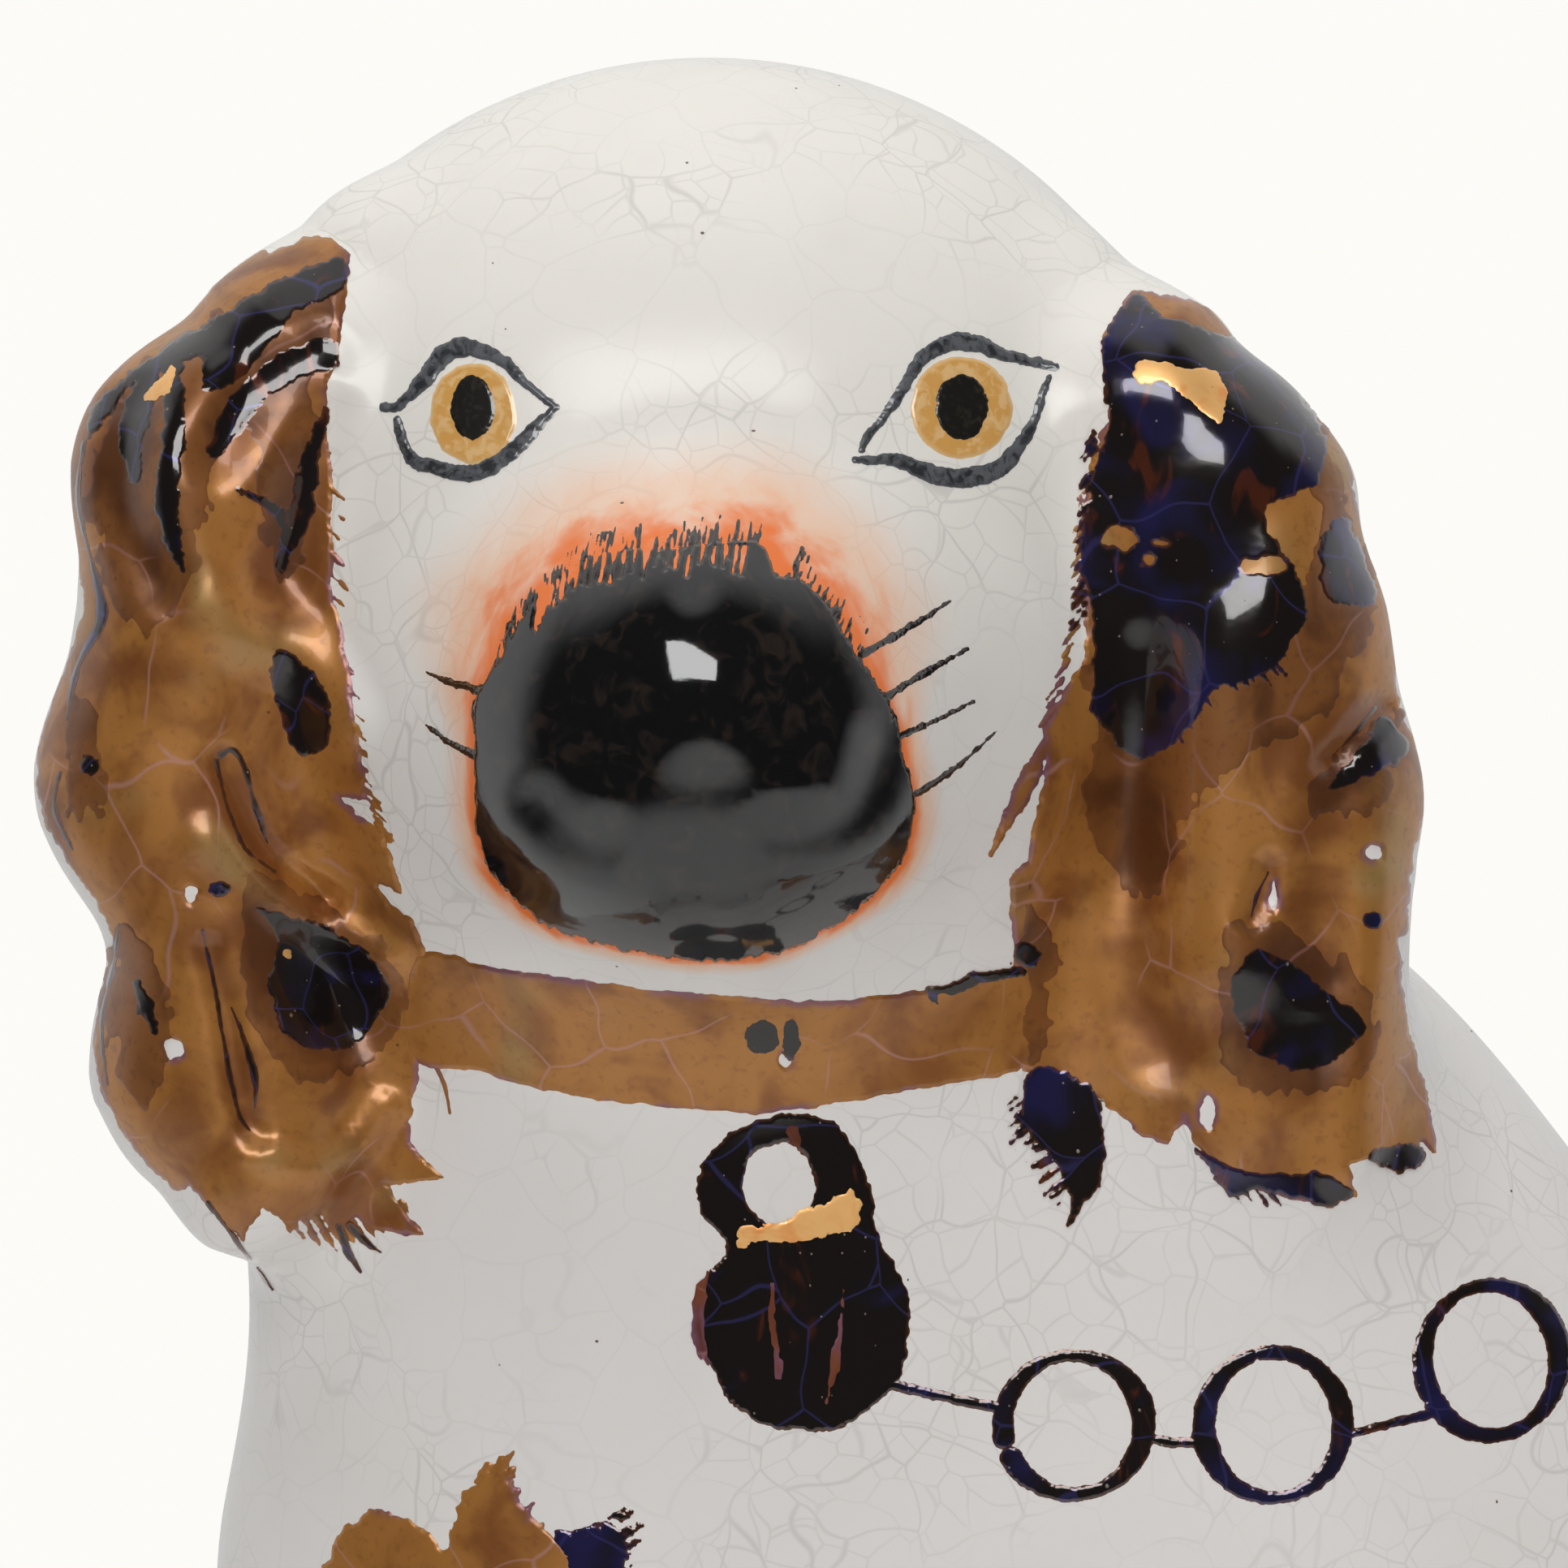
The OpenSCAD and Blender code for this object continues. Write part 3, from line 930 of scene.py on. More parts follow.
def ring(middle: Mark, across: float, up: float, half_widths: tuple[float, ...], start: float = 0.0,
         turn: float = 1.0, lean: float = 0.0) -> Stroke:
    """A ring painted in one turn of the brush.

    Args:
        middle: The ring's middle.
        across: Half its width.
        up: Half its height.
        half_widths: Half the stroke's width at even steps round it.
        start: Where the brush sets down, in turns from the right.
        turn: How much of the way round it goes.
        lean: How far the ring leans, in degrees.

    Returns:
        The stroke.
    """
    count = 20
    c, s = math.cos(math.radians(lean)), math.sin(math.radians(lean))
    marks = []
    for i in range(count + 1):
        angle = 2.0 * math.pi * (start + turn * i / count)
        x, y = across * math.cos(angle), up * math.sin(angle)
        marks.append((middle[0] + c * x - s * y, middle[1] + s * x + c * y))
    return Stroke(tuple(marks), half_widths)


def bristles(foot: Sequence[Mark], tip: Mark, count: int, half_width: float, seed: int) -> tuple[Stroke, ...]:
    """Dry ends of brush hairs that leave a painted edge.

    Args:
        foot: The edge that the hairs leave from.
        tip: How far they run, across and up.
        count: How many there are.
        half_width: Half a hair's width where it leaves.
        seed: Picks their lengths.

    Returns:
        One stroke per hair.
    """
    random = np.random.default_rng(seed)
    line = curve_through(foot, steps=8)
    hairs = []
    for i in range(count):
        x, y = line[int((i + 0.5) / count * (len(line) - 1))]
        reach = random.uniform(0.45, 1.15)
        end = (x + tip[0] * reach, y + tip[1] * reach)
        back = (x - 0.35 * tip[0], y - 0.35 * tip[1])
        hairs.append(Stroke((back, (x, y), end), (half_width, half_width * random.uniform(0.6, 1.0), 0.04)))
    return tuple(hairs)


@dataclass(frozen=True)
class Coat:
    """One film of colour.

    Attributes:
        name: The piece's name.
        shapes: What is painted.
        without: What is left bare.
        thickness: How thick the film is.
        lift: How far it lies above the glaze, on coats under it.
        bite: How far its edge wanders.
        grain: Size of the wandering, across and up.
        fine: Length of the film's edges where it ends.
        seed: Picks the wandering.
    """

    name: str
    shapes: tuple[Shape, ...]
    without: tuple[Shape, ...] = ()
    thickness: float = 0.14
    lift: float = 0.0
    bite: float = 0.12
    grain: Mark = (1.2, 1.2)
    fine: float = 0.22
    seed: int = 1

    def depth(self, drawn: Array) -> Array:
        """How far inside the painted area each point lies, negative outside."""
        far_outside = -50.0
        inside = np.full(len(drawn), far_outside)
        for shapes, sign, joined in ((self.shapes, 1.0, np.maximum), (self.without, -1.0, np.minimum)):
            for shape in shapes:
                low, high = shape.extent()
                near = within(drawn, low - BRUSH_MARGIN, high + BRUSH_MARGIN)
                inside[near] = joined(inside[near], sign * shape.depth(drawn[near]))
        small = (self.grain[0] * 0.35, self.grain[1] * 0.35)
        rough = unevenness(drawn, self.grain, self.seed) + 0.5 * unevenness(drawn, small, self.seed + 1)
        return inside + self.bite * rough

    def extent(self) -> tuple[Array, Array]:
        """Lowest and highest corner of everything painted."""
        corners = [shape.extent() for shape in self.shapes]
        return np.min([c[0] for c in corners], axis=0), np.max([c[1] for c in corners], axis=0)


@dataclass
class Brush:
    """Lays coats of colour on the figure.

    Attributes:
        skin: The whole figure's skin.
        clay: Closes the films and places them.
        form: The figure's form.
        sight: Where the decoration is drawn from.
    """

    skin: Skin
    clay: Clay
    form: Form
    sight: Sight = SIGHT

    def facing(self, skin: Skin) -> Array:
        """How squarely the skin faces the eye, from -1 to 1."""
        return (skin.normals * unit(self.sight.eye() - skin.points)).sum(axis=1)

    def lay(self, coat: Coat, finish: Finish, slot: Slot) -> None:
        """Cuts a coat out of the skin and puts it on the figure.

        Args:
            coat: What is painted.
            finish: Its colour and gloss.
            slot: The record's slot for it.
        """
        low, high = coat.extent()
        drawn = self.sight.drawn(self.skin.points)
        near = within(drawn, low - BRUSH_MARGIN, high + BRUSH_MARGIN) & (self.facing(self.skin) > 0.0)
        patch = self.skin.only(near[self.skin.triangles].all(axis=1))

        def target(points: Array) -> Array:
            """The longest edge wanted at some places, short where the film ends."""
            return coat.fine + 0.5 * np.maximum(np.abs(coat.depth(self.sight.drawn(points))) - 0.35, 0.0)

        patch = patch.refined(target, 4)
        drawn = self.sight.drawn(patch.points)
        least_facing, turn_width = 0.1, 8.0
        inside = np.minimum(coat.depth(drawn), (self.facing(patch) - least_facing) * turn_width)
        film, inside = patch.cut(inside)
        thick = coat.lift + coat.thickness * smooth_step(0.0, 0.35, inside)
        top = film.points + film.normals * thick[:, None]
        bend = corner_normals(top, film.triangles) - corner_normals(film.points, film.triangles)
        sunk = 0.12
        under = film.points - film.normals * sunk
        values = {"inside": inside, "relief": self.form.relief(self.sight.drawn(film.points))}
        piece = self.clay.solid(coat.name, film, under, finish, top, unit(film.normals + bend), values)
        put_on(piece, slot)


# Finishes.


class Wire:
    """A shader socket's value, written into sums with the usual signs."""

    def __init__(self, tree: bpy.types.NodeTree, socket: bpy.types.NodeSocket) -> None:
        """Holds a socket of a node tree."""
        self.tree = tree
        self.socket = socket

    def maths(self, operation: str, first: Wire | float, second: Wire | float | None = None) -> Wire:
        """Adds one Math node and gives its result."""
        node = self.tree.nodes.new("ShaderNodeMath")
        node.operation = operation
        for i, value in enumerate((first, second)):
            if isinstance(value, Wire):
                self.tree.links.new(value.socket, node.inputs[i])
            elif value is not None:
                node.inputs[i].default_value = value
        return Wire(self.tree, node.outputs[0])

    def __add__(self, other: Wire | float) -> Wire:
        """This plus another."""
        return self.maths("ADD", self, other)

    def __radd__(self, other: float) -> Wire:
        """A number plus this."""
        return self.maths("ADD", other, self)

    def __sub__(self, other: Wire | float) -> Wire:
        """This less another."""
        return self.maths("SUBTRACT", self, other)

    def __rsub__(self, other: float) -> Wire:
        """A number less this."""
        return self.maths("SUBTRACT", other, self)

    def __mul__(self, other: Wire | float) -> Wire:
        """This times another."""
        return self.maths("MULTIPLY", self, other)

    def __rmul__(self, other: float) -> Wire:
        """A number times this."""
        return self.maths("MULTIPLY", other, self)

    def larger(self, other: Wire) -> Wire:
        """The larger of this and another."""
        return self.maths("MAXIMUM", self, other)

    def above(self, low: float, high: float) -> Wire:
        """Eases from 0 at low to 1 at high."""
        node = self.tree.nodes.new("ShaderNodeMapRange")
        node.interpolation_type = "SMOOTHSTEP"
        node.inputs["From Min"].default_value = low
        node.inputs["From Max"].default_value = high
        self.tree.links.new(self.socket, node.inputs["Value"])
        return Wire(self.tree, node.outputs["Result"])

    def below(self, low: float, high: float) -> Wire:
        """Eases from 1 at low to 0 at high."""
        return 1.0 - self.above(low, high)


Colour = tuple[float, float, float]
Paint = Colour | Wire


class Palette:
    """One material's nodes, with the figure's millimetres to hand."""

    def __init__(self, name: str) -> None:
        """Starts a material with an empty tree."""
        self.material = bpy.data.materials.new(name)
        self.material.use_nodes = True
        self.tree = self.material.node_tree
        self.tree.nodes.clear()
        place = self.node("ShaderNodeTexCoord", out="Object")
        self.place = self.node("ShaderNodeVectorMath", {"operation": "SCALE"}, {0: place, "Scale": 1.0 / MM})

    def node(self, kind: str, settings: dict[str, object] | None = None,
             values: dict[str | int, object] | None = None, out: str | int = 0) -> Wire:
        """Adds a node.

        Args:
            kind: The node's type.
            settings: Its settings, which are set first.
            values: A number, colour or wire for each of its sockets.
            out: The output wanted.

        Returns:
            That output.
        """
        node = self.tree.nodes.new(kind)
        for title, setting in (settings or {}).items():
            setattr(node, title, setting)
        for key, value in (values or {}).items():
            socket = node.inputs[key]
            if isinstance(value, Wire):
                self.tree.links.new(value.socket, socket)
            elif isinstance(value, tuple) and socket.type == "RGBA":
                socket.default_value = (*value, 1.0)
            else:
                socket.default_value = value
        return Wire(self.tree, node.outputs[out])

    def mix(self, share: Wire | float, a: Paint, b: Paint) -> Wire:
        """Mixes two colours, with a share of the second."""
        return self.node("ShaderNodeMix", {"data_type": "RGBA"}, {0: share, 6: a, 7: b}, out=2)

    def cloud(self, size: float, detail: float = 2.0, warp: float = 0.0,
              stretch: Place = (1.0, 1.0, 1.0)) -> Wire:
        """Soft uneven values about 0.5, a size in millimetres apart."""
        stretched = self.node("ShaderNodeVectorMath", {"operation": "MULTIPLY"}, {0: self.place, 1: stretch})
        values = {"Vector": stretched, "Scale": 1.0 / size, "Detail": detail, "Distortion": warp}
        return self.node("ShaderNodeTexNoise", None, values)

    def cracks(self, cell: float, width: float) -> Wire:
        """A net of fine cracks, 1 on a crack and 0 off it, with cells of a size and a half width in mm."""
        noise = {"Vector": self.place, "Scale": 0.12, "Detail": 1.0}
        sway = self.node("ShaderNodeTexNoise", None, noise, out=1)
        pulled = self.node("ShaderNodeVectorMath", {"operation": "SCALE"}, {0: sway, "Scale": 5.0})
        swayed = self.node("ShaderNodeVectorMath", {"operation": "ADD"}, {0: self.place, 1: pulled})
        gap = self.node(
            "ShaderNodeTexVoronoi", {"feature": "DISTANCE_TO_EDGE"}, {"Vector": swayed, "Scale": 1.0 / cell}
        )
        return gap.below(0.0, 2.0 * width / cell)

    def specks(self, spacing: float, size: float, rare: float) -> Wire:
        """Small round specks, 1 on a speck and 0 off it. Some of the places, a rare share, hold none."""
        values = {"Vector": self.place, "Scale": 1.0 / spacing}
        near = self.node("ShaderNodeTexVoronoi", {"feature": "F1"}, values)
        pick = self.node("ShaderNodeTexVoronoi", {"feature": "F1"}, values, out="Color")
        chance = self.node("ShaderNodeSeparateColor", None, {"Color": pick})
        return near.below(0.6 * size / spacing, size / spacing) * chance.above(rare, rare + 0.01)

    def number(self, title: str) -> Wire:
        """A number that the piece's mesh carries."""
        return self.node("ShaderNodeAttribute", {"attribute_name": title}, out="Fac")

    def height(self) -> Wire:
        """Height above the table, in millimetres."""
        return self.node("ShaderNodeSeparateXYZ", None, {0: self.place}, out=2)

    def finished(self, colour: Paint, rough: Wire | float, bump: Wire, depth: float, metal: float = 0.0,
                 coat: float = 0.0, ior: float = 1.5) -> bpy.types.Material:
        """Ends the tree in one glazed surface.

        Args:
            colour: Base colour.
            rough: Roughness.
            bump: Relief, in millimetres.
            depth: Strength of the relief.
            metal: How metallic it is.
            coat: How much clear glaze lies over it.
            ior: The body's refractive index.

        Returns:
            The material.
        """
        normal = self.node("ShaderNodeBump", None, {"Height": bump, "Strength": depth, "Distance": MM})
        coat_roughness = 0.04
        values = {
            "Base Color": colour, "Roughness": rough, "Metallic": metal, "Normal": normal,
            "Coat Weight": coat, "Coat Roughness": coat_roughness, "IOR": ior,
        }
        shader = self.node("ShaderNodeBsdfPrincipled", None, values)
        self.end(shader)
        return self.material

    def end(self, shader: Wire) -> None:
        """Joins a shader to the material's output."""
        output = self.tree.nodes.new("ShaderNodeOutputMaterial")
        self.tree.links.new(shader.socket, output.inputs["Surface"])


class Slot(Enum):
    """The record's material slots."""

    GLAZE = "white_glaze"
    LUSTRE = "copper_lustre"
    CLAY = "biscuit_clay"
    BLACK = "black_enamel"
    AMBER = "amber_enamel"


@dataclass(frozen=True)
class Finish:
    """A finish that is made once and then shared by every piece that wears it.

    Attributes:
        name: The material's name.
    """

    name: str

    def material(self) -> bpy.types.Material:
        """The finish's material, made at its first use."""
        return bpy.data.materials.get(self.name) or self.mixed(Palette(self.name))

    def mixed(self, p: Palette) -> bpy.types.Material:
        """Fills in the material's nodes."""
        raise NotImplementedError


@dataclass(frozen=True)
class WhiteGlaze(Finish):
    """Clear crazed lead glaze over white clay, paler and warmer towards the dome as painted light, with the
    muzzle's sponged blush.
    """

    name: str = "crazed_glaze"
    warm: Colour = (0.87, 0.84, 0.78)
    cool: Colour = (0.82, 0.79, 0.765)
    blush: Colour = (0.86, 0.20, 0.045)
    peach: Colour = (0.88, 0.52, 0.33)

    def mixed(self, p: Palette) -> bpy.types.Material:
        """Fills in the material's nodes."""
        # Paler and warmer with height: painted light on the dome.
        base = p.mix(p.height().above(175.0, 240.0), self.cool, self.warm)
        stain = p.cloud(22.0, 4.0).above(0.48, 0.75)
        base = p.mix(stain * 0.35, base, (0.74, 0.71, 0.66))
        wide, close = p.cracks(7.0, 0.085), p.cracks(3.6, 0.07)
        where = p.cloud(16.0, 2.0).above(0.42, 0.62)
        net = (wide * (0.25 + 0.75 * where)).larger(close * where * 0.7)
        base = p.mix(net * 0.34, base, (0.44, 0.41, 0.39))
        base = p.mix(p.specks(9.0, 0.26, 0.72) * 0.75, base, (0.16, 0.12, 0.09))
        blush, streaks = p.number("blush"), p.cloud(2.6, 3.0, 0.3, (1.0, 1.0, 0.35))
        soft = blush.above(0.02, 0.75) * (0.45 + 0.75 * streaks)
        strong = (blush + 0.6 * (streaks - 0.5)).above(0.58, 1.0)
        base = p.mix(soft, base, self.peach)
        base = p.mix(strong, base, self.blush)
        pits = p.specks(5.0, 0.3, 0.8)
        bump = 0.35 * p.cloud(9.0, 2.0) - 0.02 * net - 0.03 * pits + 0.015 * p.cloud(0.9, 1.0)
        return p.finished(base, 0.20 + 0.06 * p.cloud(12.0), bump, 0.5, ior=1.36)


@dataclass(frozen=True)
class Lustre(Finish):
    """Copper-gold lustre: tan and olive on the ridges, rust in the hollows as painted shade, pink where the
    film is thin or cracked.

    Attributes:
        tan: The film's main colour.
        rust: Painted shade in the hollows, and random clouds.
        olive: Its colour on the ridges and in random clouds.
        pink: Along its cracks.
        purple: At its edge.
    """

    name: str = "copper_gold_lustre"
    tan: Colour = (0.45, 0.19, 0.042)
    rust: Colour = (0.19, 0.055, 0.014)
    olive: Colour = (0.36, 0.245, 0.095)
    pink: Colour = (0.50, 0.25, 0.20)
    purple: Colour = (0.22, 0.09, 0.16)

    def mixed(self, p: Palette) -> bpy.types.Material:
        """Fills in the material's nodes."""
        relief = p.number("relief")
        # Rust gathers where the relief is low, which paints shade into the hollows; olive gathers where it is
        # high.
        rust = (p.cloud(7.5, 3.0, 0.6) - 0.14 * relief).above(0.40, 0.68)
        olive = (p.cloud(12.0, 2.0) + 0.16 * relief).above(0.54, 0.82)
        base = p.mix(rust * 0.8, self.tan, self.rust)
        base = p.mix(olive * 0.75, base, self.olive)
        base = p.mix(p.cloud(0.8, 3.0).above(0.52, 0.72) * 0.30, base, self.rust)
        pink = p.cracks(11.0, 0.10) * p.cloud(9.0, 1.0).above(0.44, 0.58)
        base = p.mix(pink * 0.65, base, self.pink)
        edge = p.number("inside").below(0.0, 0.7) * p.cloud(5.0, 2.0).above(0.45, 0.6)
        base = p.mix(edge * 0.8, base, self.purple)
        base = p.mix(p.specks(3.2, 0.16, 0.7) * 0.8, base, (0.09, 0.035, 0.012))
        rough = 0.30 + 0.14 * p.cloud(1.6, 2.0)
        bump = 0.30 * p.cloud(7.0, 2.0) + 0.02 * p.cloud(0.7, 2.0)
        return p.finished(base, rough, bump, 0.5, metal=0.28, coat=0.25)


@dataclass(frozen=True)
class PaintedShadeAndReflectionLustre(Finish):
    """Near-black lustre: painted reflection and painted shade, with blue and rust in it and bright dust on
    it.
    """

    name: str = "dark_lustre"
    dark: Colour = (0.016, 0.012, 0.011)
    blue: Colour = (0.022, 0.020, 0.085)
    rust: Colour = (0.16, 0.035, 0.012)
    blueness: float = 0.5

    def mixed(self, p: Palette) -> bpy.types.Material:
        """Fills in the material's nodes."""
        # The near-black and the blue clouds are painted reflection; the dust is real.
        blue = p.cloud(7.0, 2.0, 0.5).above(0.62 - 0.3 * self.blueness, 0.80 - 0.2 * self.blueness)
        base = p.mix(blue, self.dark, self.blue)
        streak = p.cloud(3.2, 3.0, 1.2, (1.0, 1.0, 0.45)).above(0.60, 0.72)
        base = p.mix(streak * 0.55, base, self.rust)
        base = p.mix(p.cracks(9.0, 0.09) * 0.45, base, (0.06, 0.055, 0.22))
        edge = p.number("inside").below(0.0, 0.30)
        base = p.mix(edge * 0.55, base, (0.20, 0.07, 0.03))
        dust = p.specks(0.9, 0.11, 0.72).larger(p.specks(2.4, 0.2, 0.75))
        base = p.mix(dust * 0.55, base, (0.42, 0.33, 0.24))
        bump = 0.14 * p.cloud(3.0, 2.0) + 0.05 * dust
        return p.finished(base, 0.16 + 0.35 * dust, bump, 0.5, metal=0.35, coat=0.7)


@dataclass(frozen=True)
class PaintedHighlightGold(Finish):
    """Painted highlight: lustre painted bright gold where it would throw back the lamp."""

    name: str = "bright_gold"
    gold: Colour = (1.0, 0.56, 0.20)
    copper: Colour = (0.92, 0.36, 0.10)

    def mixed(self, p: Palette) -> bpy.types.Material:
        """Fills in the material's nodes."""
        base = p.mix(p.cloud(2.2, 3.0, 0.6).above(0.45, 0.75), self.gold, self.copper)
        base = p.mix(p.specks(0.8, 0.1, 0.8) * 0.7, base, (0.45, 0.16, 0.05))
        rough, bump = 0.34 + 0.1 * p.cloud(1.0), 0.06 * p.cloud(1.5, 2.0)
        return p.finished(base, rough, bump, 0.4, metal=0.35, coat=0.4)


@dataclass(frozen=True)
class Enamel(Finish):
    """A brushed overglaze colour.

    Attributes:
        full: The colour where it lies thick.
        thin: The colour where the brush left little.
        streak: Size of the brush's streaks, in millimetres.
        patchy: How much of it lies thin.
        edge: How far from its edge it is thin.
        gloss: Roughness.
    """

    full: Colour = (0.006, 0.006, 0.0065)
    thin: Colour = (0.045, 0.03, 0.022)
    streak: float = 2.0
    patchy: float = 0.15
    edge: float = 0.35
    gloss: float = 0.05

    def mixed(self, p: Palette) -> bpy.types.Material:
        """Fills in the material's nodes."""
        streaks = p.cloud(self.streak, 4.0, 0.8).above(0.64 - self.patchy, 0.86 - self.patchy)
        edge = p.number("inside").below(0.0, self.edge)
        base = p.mix((streaks * self.patchy * 3.0).larger(edge * 0.8), self.full, self.thin)
        base = p.mix(p.specks(3.5, 0.14, 0.8) * 0.5, base, (0.30, 0.28, 0.26))
        bump = 0.10 * p.cloud(5.0, 2.0) + 0.012 * p.cloud(self.streak * 0.4, 2.0)
        return p.finished(base, self.gloss + 0.05 * p.cloud(3.0), bump, 0.5, coat=0.5, ior=1.55)


@dataclass(frozen=True)
class BiscuitClay(Finish):
    """Bare fired clay, matt and a little porous."""

    name: str = "bare_clay"
    pale: Colour = (0.66, 0.58, 0.46)
    worn: Colour = (0.46, 0.37, 0.27)

    def mixed(self, p: Palette) -> bpy.types.Material:
        """Fills in the material's nodes."""
        base = p.mix(p.cloud(14.0, 4.0).above(0.40, 0.70), self.pale, self.worn)
        grit = p.specks(1.6, 0.25, 0.6)
        base = p.mix(grit * 0.6, base, (0.24, 0.17, 0.11))
        bump = 0.25 * p.cloud(1.2, 4.0) - 0.15 * grit
        return p.finished(base, 0.78 + 0.15 * p.cloud(3.0), bump, 0.6)


@dataclass(frozen=True)
class TableTop(Finish):
    """A plain pale table that fades away round its edge.

    Attributes:
        pale: Its colour.
        fade_from: Where it starts to fade, in metres from the figure.
        fade_to: Where it has gone.
    """

    name: str = "table_top"
    pale: Colour = (0.86, 0.86, 0.85)
    fade_from: float = 0.22
    fade_to: float = 0.44

    def mixed(self, p: Palette) -> bpy.types.Material:
        """Fills in the material's nodes."""
        away = p.node("ShaderNodeVectorMath", {"operation": "LENGTH"}, {0: p.place}, out="Value") * MM
        base = p.mix(p.cloud(60.0, 3.0), self.pale, (0.83, 0.83, 0.82))
        values = {"Base Color": base, "Roughness": 0.7, "Alpha": away.below(self.fade_from, self.fade_to)}
        p.end(p.node("ShaderNodeBsdfPrincipled", None, values))
        return p.material


# The clay pieces.


@dataclass
class Modelling:
    """Wraps the form in one skin and parts it into the moulded and luted pieces.

    Attributes:
        form: The figure's form.
        clay: Closes and places the pieces.
        mesh_size: Size of the first net over the form.
        wall: Thickness of the pressed wall.
    """

    form: Form
    clay: Clay
    mesh_size: float = 1.4
    wall: float = 5.0

    def skin(self) -> Skin:
        """The whole figure's skin, finer over the ears and the face."""
        placement = self.clay.placement
        margin = np.array((4.0, 8.0, 4.0))
        low, high = np.array(placement.low) - margin, np.array(placement.high) + margin
        points, triangles = surface_net(self.form.gap, low, high, self.mesh_size)
        skin = Skin(settle(self.form.gap, points, 2), np.zeros_like(points), triangles)
        skin = skin.refined(self.longest_edge, 1)
        skin.points = settle(self.form.gap, skin.points, 2)
        skin.normals = unit(gradient(self.form.gap, skin.points))
        LOG.info("skin: %d triangles", len(skin.triangles))
        return skin

    @staticmethod
    def longest_edge(p: Array) -> Array:
        """The longest edge wanted at some places."""
        head = (p[:, 2] > 150.0) & (p[:, 0] > -64.0) & (p[:, 0] < 66.0)
        ears = head & (np.abs(p[:, 0]) > 24.0) & (p[:, 1] < 4.0)
        face = head & (p[:, 1] < -10.0)
        return np.where(ears, 1.0, np.where(face, 1.2, 2.2))

    def luted(self, skin: Skin, part: Part, root: Place, finish: Finish, slot: Slot) -> None:
        """Makes one luted piece, rooted inside the body."""
        own, _ = skin.cut(self.form.belongs(part, skin.points))
        piece = self.clay.capped(part.value + "_clay", own, root, finish)
        put_on(piece, slot, part.value)

    def halves(self, skin: Skin, finish: Finish, blush: Field) -> None:
        """Makes the two mould halves as shells, with the muzzle's blush on them."""
        body, _ = skin.cut(self.form.belongs(Part.BODY, skin.points))
        body, _ = body.cut(self.form.body_gap(body.points) + self.wall)
        for node, side in (("front_half", -1.0), ("back_half", 1.0)):
            half, _ = body.cut(body.points[:, 1] * side)
            inward = half.normals.copy()
            inward[np.abs(half.points[:, 1]) < 1e-6, 1] = 0.0
            under = half.points - self.wall * unit(inward)
            values = {"blush": blush(half.points)}
            piece = self.clay.solid(node + "_clay", half, under, finish, values=values)
            put_on(piece, Slot.GLAZE, node)

    def build(self, white: Finish, lustre: Finish, blush: Field) -> Skin:
        """Makes every clay piece.

        Args:
            white: The glaze over white clay.
            lustre: The tail's finish.
            blush: Strength of the muzzle's blush at some places.

        Returns:
            The whole figure's skin.
        """
        skin = self.skin()
        for part, root in (
            (Part.LEFT_EAR, (-20, -5, 195)),
            (Part.RIGHT_EAR, (22, -5, 195)),
            (Part.NEAR_FORELEG, (-8, -8, 108)),
            (Part.FAR_FORELEG, (-12, 8, 108)),
        ):
            self.luted(skin, part, root, white, Slot.GLAZE)
        self.luted(skin, Part.TAIL, (85, 0, 30), lustre, Slot.LUSTRE)
        self.halves(skin, white, blush)
        return skin


@dataclass(frozen=True)
class BareClay:
    """The foot slab and the seam rolls, which carry no glaze.

    Attributes:
        finish: What they wear.
    """

    finish: Finish = BiscuitClay()

    def dress(self) -> None:
        """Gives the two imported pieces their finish."""
        for node in ("base_slab", "seam_roll"):
            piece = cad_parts[node]
            piece.data.materials.clear()
            piece.data.materials.append(self.finish.material())
            LOG.info("%s: dressed in %s", node, self.finish.name)


